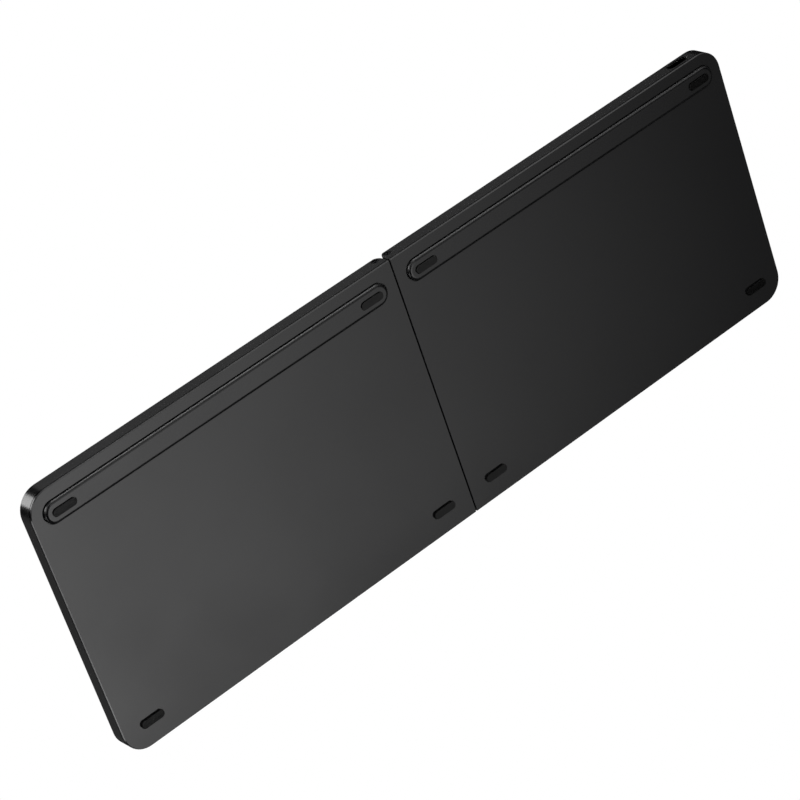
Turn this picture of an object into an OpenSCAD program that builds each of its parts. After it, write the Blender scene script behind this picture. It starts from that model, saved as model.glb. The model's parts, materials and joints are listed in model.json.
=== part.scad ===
// Folding keyboard: two halves joined like a book by a dual-pin spine, keys inside.
// The body is drawn flat open and level, then seated() stands it on its eight feet.
// Millimetres, +X to the typist's right, +Y to the rear, +Z up, origin under the centre.

/* [Keys] */
// Key pitch from left to right
key_pitch_x = 18.5; // [18:0.1:19]
// Key pitch from front to rear
key_pitch_y = 17.4; // [17:0.1:18]
// Gap between neighbouring caps from left to right
cap_gap_x = 2.6; // [2.3:0.1:3]
// Gap between neighbouring caps from front to rear
cap_gap_y = 2.4; // [2.3:0.1:3]
// Gap between the two half-height arrow caps
arrow_gap = 1; // [0.6:0.1:1.4]
// Height of a keycap
cap_h = 2; // [1.8:0.05:2.1]
// Thickness of a keycap's roof
cap_roof_t = 0.8; // [0.7:0.05:0.9]
// Thickness of a keycap's side wall
cap_wall_t = 1; // [0.8:0.1:1.2]
// Corner radius of a keycap
cap_corner_r = 1.2; // [0.8:0.1:1.5]
// How far each side of a keycap leans in
cap_taper = 0.5; // [0.3:0.05:0.6]
// Depth of the finger dish in a keycap
cap_dish = 0.2; // [0.1:0.02:0.24]
// Gap between a keycap and its window in the deck
cap_clearance = 0.4; // [0.35:0.05:0.5]
// How far a key goes down
key_travel = 1.3; // [1.1:0.05:1.3]
// Space left under a pressed keycap
press_gap = 0.2; // [0.15:0.05:0.3]
// How far the cap tops lie below the rim
cap_sink = 0.1; // [0.05:0.05:0.2]

/* [Case] */
// Rim between the outer keys and the end of a half
rim_end = 5.5; // [5:0.1:8]
// Rim between the inner keys and the seam
rim_seam = 5.45; // [5.4:0.05:7]
// Rim behind the keys
rim_rear = 8; // [8:0.1:10]
// Rim in front of the keys
rim_front = 5; // [4.5:0.1:8]
// Radius of the four outer corners, seen from above
corner_r = 8.2; // [6.5:0.1:10]
// Thickness of the side walls
wall_t = 1.3; // [1:0.1:1.5]
// Gap between the halves along the seam
seam_gap = 0.6; // [0.3:0.05:0.8]
// Bevel round the top edge of the rim
rim_bevel = 0.4; // [0.2:0.05:0.6]
// Height of the parting groove between a side wall and its cover
parting_gap = 0.3; // [0.2:0.05:0.35]
// Depth of the parting groove
parting_depth = 0.3; // [0.2:0.05:0.5]
// Thickness of the bottom covers
cover_t = 1; // [0.95:0.05:1.1]
// Bevel round the edge of the bottom covers
cover_bevel = 0.3; // [0.2:0.05:0.5]
// Height of the lip that locates a bottom cover
lip_h = 0.75; // [0.4:0.05:0.8]
// Thickness of that lip
lip_t = 0.8; // [0.6:0.1:1]
// Clearance between pieces that locate each other
fit = 0.1; // [0.05:0.01:0.15]
// Step from the rim down to the key deck
deck_drop = 1.4; // [1.3:0.05:1.5]
// Thickness of the key deck
deck_t = 0.8; // [0.7:0.05:0.9]
// How far the deck reaches under the rim
deck_lap = 1.4; // [1:0.1:1.6]
// Thickness of the rib round the deck
deck_rib_t = 0.9; // [0.7:0.05:1]
// Radius of the heat stakes that hold the key plate
stake_r = 0.7; // [0.5:0.05:0.75]

/* [Hinge] */
// Height of the rim above the hinge pin axes
pin_drop = 2.3; // [2.2:0.05:2.4]
// Gap between the rims when the keyboard is closed
closed_gap = 0.8; // [0.7:0.05:1]
// Radius of the rounded top of the hinge knuckles
nose_r = 3.3; // [3:0.1:3.5]
// Radius of the hinge pins
pin_r = 0.8; // [0.7:0.05:0.9]
// Running clearance of the pins in the spine
pin_run = 0.05; // [0.03:0.01:0.08]
// Seating clearance of the pins in the knuckles
pin_seat = 0.02; // [0.01:0.01:0.04]
// Radius of the pin heads
head_r = 1.25; // [1.1:0.05:1.35]
// Thickness of the pin heads
head_t = 0.7; // [0.5:0.05:0.8]
// Depth of the pin heads below the wall
head_sink = 0.3; // [0.2:0.05:0.4]
// Thickness of the knuckles at both ends of the seam
knuckle_t = 2; // [1.8:0.1:2.5]
// Radius of the spine's rounded sides
spine_r = 1.7; // [1.6:0.05:1.75]
// Clearance round the spine in its channel
spine_gap = 0.15; // [0.1:0.01:0.2]
// Wall between the spine's channel and the inside
channel_wall = 0.65; // [0.6:0.05:0.8]
// Length of pin inside the spine
pin_grip = 8; // [6:0.5:10]
// Thickness of the friction washers
washer_t = 0.25; // [0.2:0.05:0.3]

/* [Feet] */
// Height of the rear support bars
bar_h = 1.3; // [1:0.1:2]
// Width of the rear support bars
bar_w = 7.9; // [7:0.1:8.5]
// Distance from a bar to either end of its half
bar_margin = 4.35; // [4:0.05:6]
// Distance from a bar to the rear edge
bar_rear = 4.4; // [4:0.1:6]
// Radius of the rounded edge of a bar
bar_edge_r = 1.3; // [0.8:0.05:1.5]
// Width of the groove round a bar
bar_groove = 0.25; // [0.2:0.05:0.35]
// Depth of the seats of bars and front feet in the covers
seat_depth = 0.4; // [0.3:0.05:0.45]
// Length of a rubber foot
foot_len = 9; // [7:0.1:11]
// Width of a rubber foot
foot_w = 2.7; // [2.6:0.1:3]
// Distance from a foot's centre to the end of its half
foot_inset = 11.6; // [11:0.1:20]
// Distance from a front foot's centre to the front edge
foot_front = 8.4; // [7:0.1:12]
// Thickness of the front feet below the cover
front_foot_t = 0.8; // [0.6:0.05:1]
// Thickness of the rear feet below the bar
rear_foot_t = 0.4; // [0.3:0.05:0.6]
// Gap round a foot in its seat
foot_gap = 0.2; // [0.1:0.05:0.3]
// Bevel round the bottom of a foot
foot_bevel = 0.15; // [0.1:0.01:0.2]

/* [Inside] */
// Thickness of the key plate
plate_t = 0.4; // [0.3:0.05:0.4]
// Thickness of the dome mat
mat_t = 0.2; // [0.15:0.01:0.2]
// Radius of a rubber dome's foot as a share of its support's depth
dome_share = 0.29; // [0.25:0.01:0.3]
// Thickness of the scissor links
link_t = 0.6; // [0.5:0.05:0.6]
// Width of the scissor links as a share of their depth
link_share = 0.105; // [0.08:0.005:0.11]
// Thickness of the main board
board_t = 0.8; // [0.6:0.1:0.8]
// Thickness of the chips on the main board
chip_t = 0.45; // [0.3:0.05:0.5]
// Length of the battery
battery_l = 62; // [40:1:66]
// Width of the battery
battery_w = 36; // [20:1:42]
// Thickness of the battery
battery_t = 1.35; // [1.2:0.05:1.5]
// Thickness of the tape under the battery
battery_pad = 0.05; // [0.03:0.01:0.1]
// Space between the battery and the key plate
battery_gap = 0.1; // [0.1:0.05:0.3]
// Width of the charging socket's shell
usb_w = 8.94; // [8.9:0.01:9]
// Height of the charging socket's shell
usb_h = 3.2; // [3.1:0.01:3.26]
// Length of the charging socket's shell
usb_l = 7; // [6.5:0.1:7.2]
// Height of the socket's middle above the underside
usb_z = 3.5; // [3.45:0.01:3.55]
// Distance from the socket's middle to the end of the half
usb_end = 14.5; // [14:0.1:20]
// Width of the flex cable across the seam
flex_w = 8; // [6:0.5:10]
// Radius of the sensor magnet
magnet_r = 2; // [1.5:0.1:2]
// Radius of the cover screws
screw_r = 0.7; // [0.6:0.05:0.7]
// Radius of the cover screw heads
screw_head_r = 1.15; // [1:0.05:1.2]

/* [Hidden] */
LEFT = -1;
RIGHT = 1;
FRONT = -1;
REAR = 1;
eps = 0.01;
over = 1;
curve_fn = 64;
dish_fn = 256;
$fn = curve_fn;

// Rows of keys from the seam outwards: node and width in key units, then which half
// of the slot a half-height key takes
ROWS_LEFT = [
    [for (i = [0:6]) ["left_number_keys", i < 6 ? 1 : 1.5]],
    [["key_t", 1.5], ["key_r", 1], ["key_e", 1], ["key_w", 1], ["key_q", 1],
     ["left_modifier_keys", 2]],
    [["key_g", 1.25], ["key_f", 1], ["key_d", 1], ["key_s", 1], ["key_a", 1],
     ["left_modifier_keys", 2.25]],
    [["key_b", 1], ["key_v", 1], ["key_c", 1], ["key_x", 1], ["key_z", 1],
     ["left_modifier_keys", 2.5]],
    [["left_space_bar", 2.5], for (i = [0:3]) ["left_modifier_keys", 1.25]],
];
ROWS_RIGHT = [
    [for (i = [0:6]) ["right_number_keys", i < 6 ? 1 : 1.5]],
    [["key_y", 1], ["key_u", 1], ["key_i", 1], ["key_o", 1], ["key_p", 1],
     for (i = [0:2]) ["punctuation_keys", 2.5 / 3]],
    [["key_h", 1], ["key_j", 1], ["key_k", 1], ["key_l", 1], ["punctuation_keys", 1],
     ["punctuation_keys", 1], ["right_modifier_keys", 1.5]],
    [["key_n", 1], ["key_m", 1], for (i = [0:2]) ["punctuation_keys", 1],
     ["right_modifier_keys", 2.5]],
    [["right_space_bar", 2.5], ["right_modifier_keys", 1], ["right_modifier_keys", 1],
     ["right_modifier_keys", 1], ["right_modifier_keys", 1, "upper"],
     ["right_modifier_keys", 1, "lower"], ["right_modifier_keys", 1]],
];
KEY_NODES = concat(
    [for (c = "qwertasdfgzxcvbyuiophjklnm") str("key_", c)],
    ["left_space_bar", "right_space_bar", "left_number_keys", "right_number_keys",
     "left_modifier_keys", "right_modifier_keys", "punctuation_keys"]);

row_units = 7.5;
rows = 5;
wide_key = 2 * key_pitch_x;

// Plan of one half, drawn with the seam's middle at x = 0
seam_x = seam_gap / 2;
field_x0 = seam_x + rim_seam;
field_x1 = field_x0 + row_units * key_pitch_x;
end_x = field_x1 + rim_end;
half_w = end_x - seam_x;
body_d = rim_front + rows * key_pitch_y + rim_rear;
rear_y = body_d / 2;
field_y1 = rear_y - rim_rear;
field_y0 = -rear_y + rim_front;

// Levels, from the underside of the covers up
battery_z = cover_t + battery_pad;
plate_z = battery_z + battery_t + battery_gap;
mat_z = plate_z + plate_t;
mat_top = mat_z + mat_t;
cap_z = mat_top + press_gap + key_travel;
support_bite = 0.4;
support_top = cap_z + support_bite;
body_t = cap_z + cap_h + cap_sink;
deck_top = body_t - deck_drop;
deck_z = deck_top - deck_t;
board_z = usb_z - usb_h / 2 - board_t;

// Hinge
pin_x = pin_drop + closed_gap / 2;
pin_z = body_t - pin_drop;
nose_x = seam_x + nose_r;
channel_r = spine_r + spine_gap;
channel_x = pin_x + channel_r;
inner_x = channel_x + channel_wall;
washer_play = 0.05;
knuckle_y = rear_y - knuckle_t;
spine_y = knuckle_y - washer_t - 2 * washer_play;
washer_r = spine_r - 2 * washer_play;
head_y = rear_y - head_sink;
drive_fn = 6;
pin_drive_r = 0.6;
pin_drive_depth = 0.4;

// Feet and the lean they give the body
bar_y = rear_y - bar_rear - bar_w / 2;
foot_y = -rear_y + foot_front;
foot_cut = 0.1;
foot_xs = [seam_x + foot_inset, end_x - foot_inset];
lean = atan((bar_h + rear_foot_t - front_foot_t) / (bar_y - foot_y));
lift = (bar_h + rear_foot_t) * cos(lean) - bar_y * sin(lean);
shift = (body_t - rim_bevel + cover_bevel) / 2 * sin(lean);

// Key module: the deck, plate, mat and supports share this outline
module_x0 = inner_x + fit;
module_x1 = field_x1 + deck_lap;
module_y0 = field_y0 - deck_lap;
module_y1 = field_y1 + deck_lap;

// Cover screws, charging socket, flex cable and magnet
bar_screw_inset = 20;
screw_head_t = 0.4;
screw_drive_t = 0.2;
screw_fit = 0.03;
boss_r = 1.9;
screw_y = bar_y + bar_w / 2 - screw_head_r - fit;
bar_screw_xs = [seam_x + bar_screw_inset, end_x - bar_screw_inset - usb_end];
screw_top = plate_z + plate_t;
bar_screw_len = 2.2;
bar_screw_room = 1;
standoff_r = 1.6;
usb_x = end_x - usb_end;
usb_wall = 0.3;
usb_mouth = 0.3;
usb_gap = 0.12;
tongue_w = 6.7;
tongue_t = 0.7;
tongue_mouth = 1.2;
flex_inset = 11;
flex_y = field_y1 - flex_inset;
flex_t = 0.2;
flex_drop = 0.3;
flex_z = plate_z - flex_drop;
flex_slot = 0.6;
flex_room = 1;
flex_tail = 9;
magnet_t = 1.5;
magnet_wall = 0.7;
magnet_inset = 36.5;
magnet_x = end_x - magnet_inset;
magnet_y = rear_y - wall_t - magnet_r - magnet_wall / 2;
battery_from_seam = 30;
battery_from_keys = 20;
battery_x = seam_x + battery_from_seam;
battery_y = field_y0 + battery_from_keys;
battery_r = 1.5;
board_w = 48.2;
board_d = 21.7;
board_x1 = end_x - wall_t - fit - lip_t - fit;
board_x0 = board_x1 - board_w;
board_y1 = rear_y - wall_t - fit - lip_t - fit;
board_y0 = board_y1 - board_d;
connector_l = 2.6;
// Chips on the board as [x, y, width, depth] from its corner nearest the seam
CHIPS = [[12, 8, 5, 5], [21, 9, 3.2, 2.5], [28, 6, 4, 3]];

// ---- Placing ----

// Stands the level body on its feet
module seated() {
    translate([0, shift, lift]) rotate([lean, 0, 0]) children();
}

// Draws a half on its own side of the seam
module half(side) {
    seated() mirror([side == LEFT ? 1 : 0, 0, 0]) children();
}

module above_desk() {
    translate([-end_x - over, -rear_y - over, 0])
        cube([2 * (end_x + over), 2 * (rear_y + over), body_t]);
}

// ---- Keys of one side as [node, centre x, centre y, width, depth, half-slot] ----

function side_rows(side) = side == LEFT ? ROWS_LEFT : ROWS_RIGHT;
function advance(key) = key[2] == "upper" ? 0 : key[1];
function start_u(row, i) = i == 0 ? 0 : start_u(row, i - 1) + advance(row[i - 1]);
function slot_d() = key_pitch_y - cap_gap_y;
function key_d(key) = is_undef(key[2]) ? slot_d() : (slot_d() - arrow_gap) / 2;
function key_dy(key) =
    is_undef(key[2]) ? 0 : (key[2] == "upper" ? 1 : -1) * (slot_d() - key_d(key)) / 2;
function key_at(row, r, i) = [
    row[i][0],
    field_x0 + (start_u(row, i) + row[i][1] / 2) * key_pitch_x,
    field_y1 - (r + 1 / 2) * key_pitch_y + key_dy(row[i]),
    row[i][1] * key_pitch_x - cap_gap_x,
    key_d(row[i]),
    row[i][2]
];
function keys(side) = [
    for (r = [0:rows - 1])
        let (row = side_rows(side)[r])
            for (i = [0:len(row) - 1]) key_at(row, r, i)
];

// A wide key stands on two scissor supports, any other on one
support_side = 2.2;
support_room = 0.2;
support_max_w = 11;
support_max_d = 8.8;
link_play = 0.2;
function support_dxs(w) = w > wide_key ? [-w / 4, w / 4] : [0];
function support_w(w) = min(w / len(support_dxs(w)) - 2 * support_side, support_max_w);
function support_d(d) = min(d - 2 * (cap_wall_t + support_room), support_max_d);
function link_w(d) = link_share * d;
function supports(side) = [
    for (k = keys(side), dx = support_dxs(k[3]))
        [k[1] + dx, k[2], support_w(k[3]), support_d(k[4])]
];

// Heat stakes stand where four keys meet, on the lines between the rows
stake_columns = 5;
function stakes() = [
    for (r = [1:rows - 1], c = [0:stake_columns - 1])
        [field_x0 + (c + 1 / 2) * row_units / stake_columns * key_pitch_x,
         field_y1 - r * key_pitch_y]
];

// ---- Shapes that repeat ----

module quarter_disc(r) {
    intersection() {
        circle(r);
        square([r, r]);
    }
}

module round_rect(w, d, r) {
    square([w, d - 2 * r], center = true);
    square([w - 2 * r, d], center = true);
    for (sx = [-1, 1], sy = [-1, 1])
        translate([sx * (w / 2 - r), sy * (d / 2 - r)]) circle(r);
}

module stadium(length, width) {
    square([length - width, width], center = true);
    for (s = [-1, 1]) translate([s * (length - width) / 2, 0]) circle(width / 2);
}

module box_between(x0, x1, y0, y1, z0, z1) {
    translate([x0, y0, z0]) cube([x1 - x0, y1 - y0, z1 - z0]);
}

// Side profile of a slab from the middle out to reach, bevelled below and above
function slab_profile(reach, z0, z1, low, high) =
    [[0, z0], [reach - low, z0], [reach, z0 + low], [reach, z1 - high], [reach - high, z1],
     [0, z1]];

// Slab with the plan of a half: square at the seam side x0, round at the outer corners
module half_slab(x0, inset, z0, z1, low = 0, high = 0) {
    r = corner_r - inset;
    x1 = end_x - inset;
    y1 = rear_y - inset;
    for (s = [FRONT, REAR])
        mirror([0, s == FRONT ? 1 : 0, 0]) {
            translate([x0, 0, 0]) rotate([90, 0, 90])
                linear_extrude(x1 - r - x0) polygon(slab_profile(y1, z0, z1, low, high));
            translate([x1 - r, y1 - r, 0])
                rotate_extrude(angle = 90) polygon(slab_profile(r, z0, z1, low, high));
        }
    translate([x1 - r, y1 - r, 0]) rotate([90, 0, 0])
        linear_extrude(2 * (y1 - r)) polygon(slab_profile(r, z0, z1, low, high));
}

// Stadium block with its lower edge rounded, hanging from z = 0 to -height
module hanging_pad(length, width, height, edge_r) {
    r = width / 2;
    module profile() {
        translate([0, -height]) square([r - edge_r, height]);
        translate([r - edge_r, edge_r - height]) square([edge_r, height - edge_r]);
        translate([r - edge_r, edge_r - height]) mirror([0, 1]) quarter_disc(edge_r);
    }
    for (s = [0, 1])
        mirror([s, 0, 0]) {
            translate([length / 2 - r, 0, 0]) rotate([0, 0, -90])
                rotate_extrude(angle = 180) profile();
            for (t = [0, 1])
                mirror([0, t, 0]) rotate([90, 0, 90]) linear_extrude(length / 2 - r) profile();
        }
}

// Section of the spine's channel, open to the seam and to the key side
module channel_section(r) {
    translate([pin_x, pin_z]) mirror([0, 1]) quarter_disc(r);
    translate([pin_x - eps, pin_z]) square([r + eps, body_t]);
    translate([-over, pin_z - r]) square([pin_x + over, body_t]);
}

module along_y(y0, y1) {
    translate([0, y1, 0]) rotate([90, 0, 0]) linear_extrude(y1 - y0) children();
}

// ---- Side frame: walls, rim, spine channel and hinge knuckles ----

module nose_section() {
    translate([nose_x, body_t - nose_r]) mirror([1, 0]) quarter_disc(nose_r);
    translate([seam_x, cover_t]) square([nose_r, body_t - nose_r - cover_t]);
}

module frame_outer() {
    half_slab(nose_x, 0, cover_t, body_t, 0, rim_bevel);
    intersection() {
        along_y(-rear_y, rear_y) nose_section();
        for (s = [FRONT, REAR])
            mirror([0, s == FRONT ? 1 : 0, 0]) translate([seam_x, 0, 0])
                rotate([90, 0, 90]) linear_extrude(nose_r)
                    polygon(slab_profile(rear_y, cover_t, body_t, 0, rim_bevel));
    }
}

module key_well() {
    translate([(field_x0 + field_x1) / 2, (field_y0 + field_y1) / 2, deck_top - eps])
        linear_extrude(body_t)
            round_rect(field_x1 - field_x0, field_y1 - field_y0, cap_corner_r);
}

module hinge_holes() {
    for (s = [FRONT, REAR])
        mirror([0, s == FRONT ? 1 : 0, 0]) translate([pin_x, rear_y, pin_z])
            rotate([90, 0, 0]) {
                translate([0, 0, -over]) cylinder(r = pin_r + pin_seat, h = knuckle_t + 2 * over);
                translate([0, 0, -over]) cylinder(r = head_r + fit, h = over + head_sink + head_t);
            }
}

module flex_window(margin) {
    box_between(pin_x, inner_x + over, flex_y - flex_w / 2 - margin, flex_y + flex_w / 2 + margin,
                flex_z - flex_slot, pin_z + flex_slot);
}

module socket_section(grow) {
    stadium(usb_w + 2 * grow, usb_h + 2 * grow);
}

module frame(side) {
    difference() {
        union() {
            difference() {
                frame_outer();
                half_slab(inner_x, wall_t, cover_t - eps, deck_top);
                key_well();
            }
            for (x = bar_screw_xs) translate([x, screw_y, cover_t])
                cylinder(r = boss_r, h = deck_top - cover_t + eps);
            if (side == RIGHT) translate([magnet_x, magnet_y, deck_top - magnet_t])
                cylinder(r = magnet_r + fit + magnet_wall, h = magnet_t + eps);
        }
        along_y(-knuckle_y, knuckle_y) channel_section(channel_r);
        hinge_holes();
        flex_window(flex_slot);
        for (x = bar_screw_xs) translate([x, screw_y, cover_t - over])
            cylinder(r = screw_r + screw_fit, h = over + bar_screw_len + bar_screw_room);
        if (side == RIGHT) translate([magnet_x, magnet_y, deck_top - magnet_t - eps])
            cylinder(r = magnet_r + fit, h = magnet_t + eps);
        if (side == LEFT) translate([usb_x, rear_y + over, usb_z]) rotate([90, 0, 0])
            linear_extrude(wall_t + 2 * over) socket_section(usb_gap);
    }
}

module left_frame() { color("#2a2a2c") half(LEFT) frame(LEFT); }
module right_frame() { color("#2a2a2c") half(RIGHT) frame(RIGHT); }

// ---- Bottom cover: seats for the bar and feet, lip, ribs and standoffs ----

module bar_section(grow) {
    stadium(half_w - 2 * bar_margin + 2 * grow, bar_w + 2 * grow);
}

module bar_seat(grow, z0, h) {
    translate([(seam_x + end_x) / 2, bar_y, z0]) linear_extrude(h) bar_section(grow);
}

module foot_section(grow) {
    stadium(foot_len + 2 * grow, foot_w + 2 * grow);
}

rib_t = 0.8;
rib_h = 0.7;
rib_xs = [40, 75, 110];
fence_t = 0.9;
fence_h = 0.9;
lead_gap = 18;
post_r = 1.4;
post_inset_x = 4;
post_inset_y = 3;

module cover_lip() {
    difference() {
        half_slab(inner_x + fit, wall_t + fit, cover_t - eps, cover_t + lip_h);
        half_slab(inner_x + fit + lip_t, wall_t + fit + lip_t, cover_t, cover_t + lip_h + over);
        box_between(0, inner_x + lip_t + over, flex_y - flex_w, flex_y + flex_w,
                    cover_t, body_t);
        for (x = bar_screw_xs) translate([x, screw_y, cover_t])
            cylinder(r = boss_r + fit, h = body_t);
    }
}

// Fence round the battery, open beside the board for the leads
module battery_fence() {
    battery_x1 = battery_x + battery_l;
    battery_y1 = battery_y + battery_w;
    edge = fit + fence_t;
    difference() {
        box_between(battery_x - edge, battery_x1 + edge, battery_y - edge, battery_y1 + edge,
                    cover_t - eps, cover_t + fence_h);
        box_between(battery_x - fit, battery_x1 + fit, battery_y - fit, battery_y1 + fit,
                    cover_t - eps, body_t);
        box_between(battery_x1, battery_x1 + edge + over, battery_y1 - lead_gap, battery_y1,
                    cover_t, body_t);
    }
}

module board_posts() {
    for (x = [board_x0 + post_inset_x, (board_x0 + board_x1) / 2],
         y = [board_y0 + post_inset_y, board_y1 - post_inset_y])
        translate([x, y, cover_t - eps]) cylinder(r = post_r, h = board_z - cover_t + eps);
}

module stiffeners() {
    for (x = rib_xs) box_between(x, x + rib_t, foot_y + foot_w + standoff_r,
                                 flex_y - flex_w, cover_t - eps, cover_t + rib_h);
    box_between(inner_x + fit + lip_t, end_x - wall_t - fit - lip_t, 0, rib_t, cover_t - eps,
                cover_t + rib_h);
}

module cover_screw_cut(x, y) {
    translate([x, y, -over]) cylinder(r = screw_r + screw_fit, h = cover_t + 2 * over);
    translate([x, y, -over])
        cylinder(r = screw_head_r + screw_fit, h = over + seat_depth + screw_head_t);
}

module bottom_cover(side) {
    difference() {
        union() {
            half_slab(seam_x, 0, 0, cover_t - parting_gap, cover_bevel);
            half_slab(seam_x, parting_depth, cover_t - parting_gap - eps, cover_t);
            cover_lip();
            if (side == LEFT) {
                battery_fence();
                board_posts();
            } else stiffeners();
        }
        bar_seat(bar_groove, -eps, seat_depth + eps);
        for (x = foot_xs) translate([x, foot_y, -eps])
            linear_extrude(seat_depth + eps) foot_section(foot_gap);
        for (x = bar_screw_xs) cover_screw_cut(x, screw_y);
        for (x = foot_xs) cover_screw_cut(x, foot_y);
    }
}

module left_bottom_cover() { color("#3a3a3c") half(LEFT) bottom_cover(LEFT); }
module right_bottom_cover() { color("#3a3a3c") half(RIGHT) bottom_cover(RIGHT); }

// ---- Rear support bar and rubber feet ----

module support_bar() {
    difference() {
        translate([(seam_x + end_x) / 2, bar_y, seat_depth])
            hanging_pad(half_w - 2 * bar_margin, bar_w, bar_h + seat_depth, bar_edge_r);
        for (x = foot_xs) translate([x, bar_y, -bar_h - eps])
            linear_extrude(seat_depth + eps) foot_section(foot_gap);
    }
}

module left_support_bar() { color("#222224") half(LEFT) support_bar(); }
module right_support_bar() { color("#222224") half(RIGHT) support_bar(); }

module feet(side) {
    intersection() {
        half(side)
            for (x = foot_xs) {
                translate([x, bar_y, seat_depth - bar_h])
                    hanging_pad(foot_len, foot_w, seat_depth + rear_foot_t + foot_cut, foot_bevel);
                translate([x, foot_y, seat_depth])
                    hanging_pad(foot_len, foot_w, seat_depth + front_foot_t + foot_cut, foot_bevel);
            }
        above_desk();
    }
}

module left_feet() { color("#161616") feet(LEFT); }
module right_feet() { color("#161616") feet(RIGHT); }

// ---- Key module: deck, plate, dome mat and scissor supports ----

module module_section(inset) {
    translate([module_x0 + inset, module_y0 + inset])
        square([module_x1 - module_x0 - 2 * inset, module_y1 - module_y0 - 2 * inset]);
}

module module_notches(side, z0, z1) {
    for (x = bar_screw_xs) translate([x, screw_y, z0]) cylinder(r = boss_r + fit, h = z1 - z0);
    if (side == RIGHT) translate([magnet_x, magnet_y, z0])
        cylinder(r = magnet_r + 2 * fit + magnet_wall, h = z1 - z0);
    if (side == LEFT)
        box_between(usb_x - usb_w / 2 - 2 * fit, usb_x + usb_w / 2 + 2 * fit,
                    rear_y - usb_mouth - usb_l - 2 * fit, rear_y, z0, z1);
}

module flex_notch(z0, z1) {
    box_between(0, field_x0 + flex_room, flex_y - flex_w / 2 - flex_room,
                flex_y + flex_w / 2 + flex_room, z0, z1);
}

module stake_posts(r, z0, z1) {
    for (p = stakes()) translate([p[0], p[1], z0]) cylinder(r = r, h = z1 - z0);
}

module deck(side) {
    difference() {
        union() {
            translate([0, 0, deck_z]) linear_extrude(deck_t) difference() {
                module_section(0);
                for (k = keys(side)) if (k[5] != "upper")
                    translate([k[1], k[5] == "lower" ? k[2] + (slot_d() - k[4]) / 2 : k[2]])
                        round_rect(k[3] + 2 * cap_clearance, slot_d() + 2 * cap_clearance,
                                   cap_corner_r + cap_clearance);
            }
            difference() {
                translate([0, 0, mat_z]) linear_extrude(deck_z - mat_z + eps) difference() {
                    module_section(0);
                    module_section(deck_rib_t);
                }
                flex_notch(mat_z - eps, deck_z);
            }
        }
        module_notches(side, mat_z - over, body_t);
    }
    stake_posts(stake_r, plate_z, deck_z + eps);
}

module left_deck() { color("#1f1f21") half(LEFT) deck(LEFT); }
module right_deck() { color("#1f1f21") half(RIGHT) deck(RIGHT); }

// Bent-up tabs that hold a scissor support from inside its frames
tab_w = 1.4;
tab_t = 0.4;
tab_gap = 0.25;
tab_h = 0.9;

module tab_sections(side, grow) {
    for (s = supports(side), sx = [-1, 1], sy = [-1, 1])
        let (bar = link_w(s[3]))
            translate([s[0] + sx * (s[2] / 2 - 2 * bar - link_play - tab_gap - tab_w / 2),
                       s[1] + sy * (s[3] / 2 - bar - tab_gap - tab_t / 2)])
                square([tab_w + 2 * grow, tab_t + 2 * grow], center = true);
}

module key_plate(side) {
    difference() {
        union() {
            translate([0, 0, plate_z]) linear_extrude(plate_t) module_section(0);
            for (x = foot_xs) translate([x, foot_y, cover_t + fit])
                cylinder(r = standoff_r, h = plate_z - cover_t - fit + eps);
            translate([0, 0, plate_z + plate_t - eps]) linear_extrude(tab_h)
                tab_sections(side, 0);
        }
        stake_posts(stake_r + pin_run, plate_z - over, plate_z + over);
        for (x = foot_xs) translate([x, foot_y, cover_t])
            cylinder(r = screw_r + screw_fit, h = body_t);
        module_notches(side, plate_z - over, mat_z + eps);
        flex_notch(plate_z - over, mat_z + eps);
    }
}

module left_key_plate() { color("#8d9094") half(LEFT) key_plate(LEFT); }
module right_key_plate() { color("#8d9094") half(RIGHT) key_plate(RIGHT); }

dome_wall = 0.35;
dome_h = support_top - mat_z;
dome_rim = 0.5;

// Hollow dome, open below, with a flat top for the keycap's stem
module dome(r) {
    neck = r / 2;
    rotate_extrude() polygon([
        [r - dome_wall, 0], [r, 0], [r, mat_t], [neck, dome_h - dome_rim], [neck, dome_h],
        [0, dome_h], [0, dome_h - dome_wall], [neck - dome_wall, dome_h - dome_rim - dome_wall],
        [r - dome_wall, mat_t]]);
}

module dome_mat(side) {
    translate([0, 0, mat_z]) linear_extrude(mat_t) difference() {
        module_section(deck_rib_t + fit);
        for (p = stakes()) translate(p) circle(stake_r + fit);
        for (x = foot_xs) translate([x, foot_y]) circle(screw_r + fit);
        for (s = supports(side)) translate([s[0], s[1]])
            circle(dome_share * s[3] - dome_wall / 2);
        tab_sections(side, fit);
        translate([0, flex_y - flex_w / 2 - flex_room])
            square([field_x0 + flex_room + fit, flex_w + 2 * flex_room]);
    }
    for (s = supports(side)) translate([s[0], s[1], mat_z]) dome(dome_share * s[3]);
}

module left_dome_mat() { color("#b9bdb8") half(LEFT) dome_mat(LEFT); }
module right_dome_mat() { color("#b9bdb8") half(RIGHT) dome_mat(RIGHT); }

pivot_r = 0.2;

module link_frame(w, d, bar) {
    linear_extrude(link_t, center = true) difference() {
        square([w, d], center = true);
        square([w - 2 * bar, d - 2 * bar], center = true);
    }
}

// Two crossed frames, the narrower inside the wider, joined by their pivots
module scissor(w, d) {
    bar = link_w(d);
    rise = support_top - mat_top - link_t - 2 * link_play;
    slope = asin(rise / d);
    inner_w = w - 2 * bar - 2 * link_play;
    translate([0, 0, (support_top + mat_top) / 2]) {
        rotate([slope, 0, 0]) link_frame(w, d, bar);
        rotate([-slope, 0, 0]) link_frame(inner_w, d, bar);
        for (s = [0, 1]) mirror([s, 0, 0]) translate([inner_w / 2 - bar / 2, 0, 0])
            rotate([0, 90, 0]) cylinder(r = pivot_r, h = link_play + bar);
    }
}

module scissors(side) {
    for (s = supports(side)) translate([s[0], s[1], 0]) scissor(s[2], s[3]);
}

module left_scissors() { color("#e6e4dc") half(LEFT) scissors(LEFT); }
module right_scissors() { color("#e6e4dc") half(RIGHT) scissors(RIGHT); }

// ---- Screws, pins and washers ----

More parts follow.
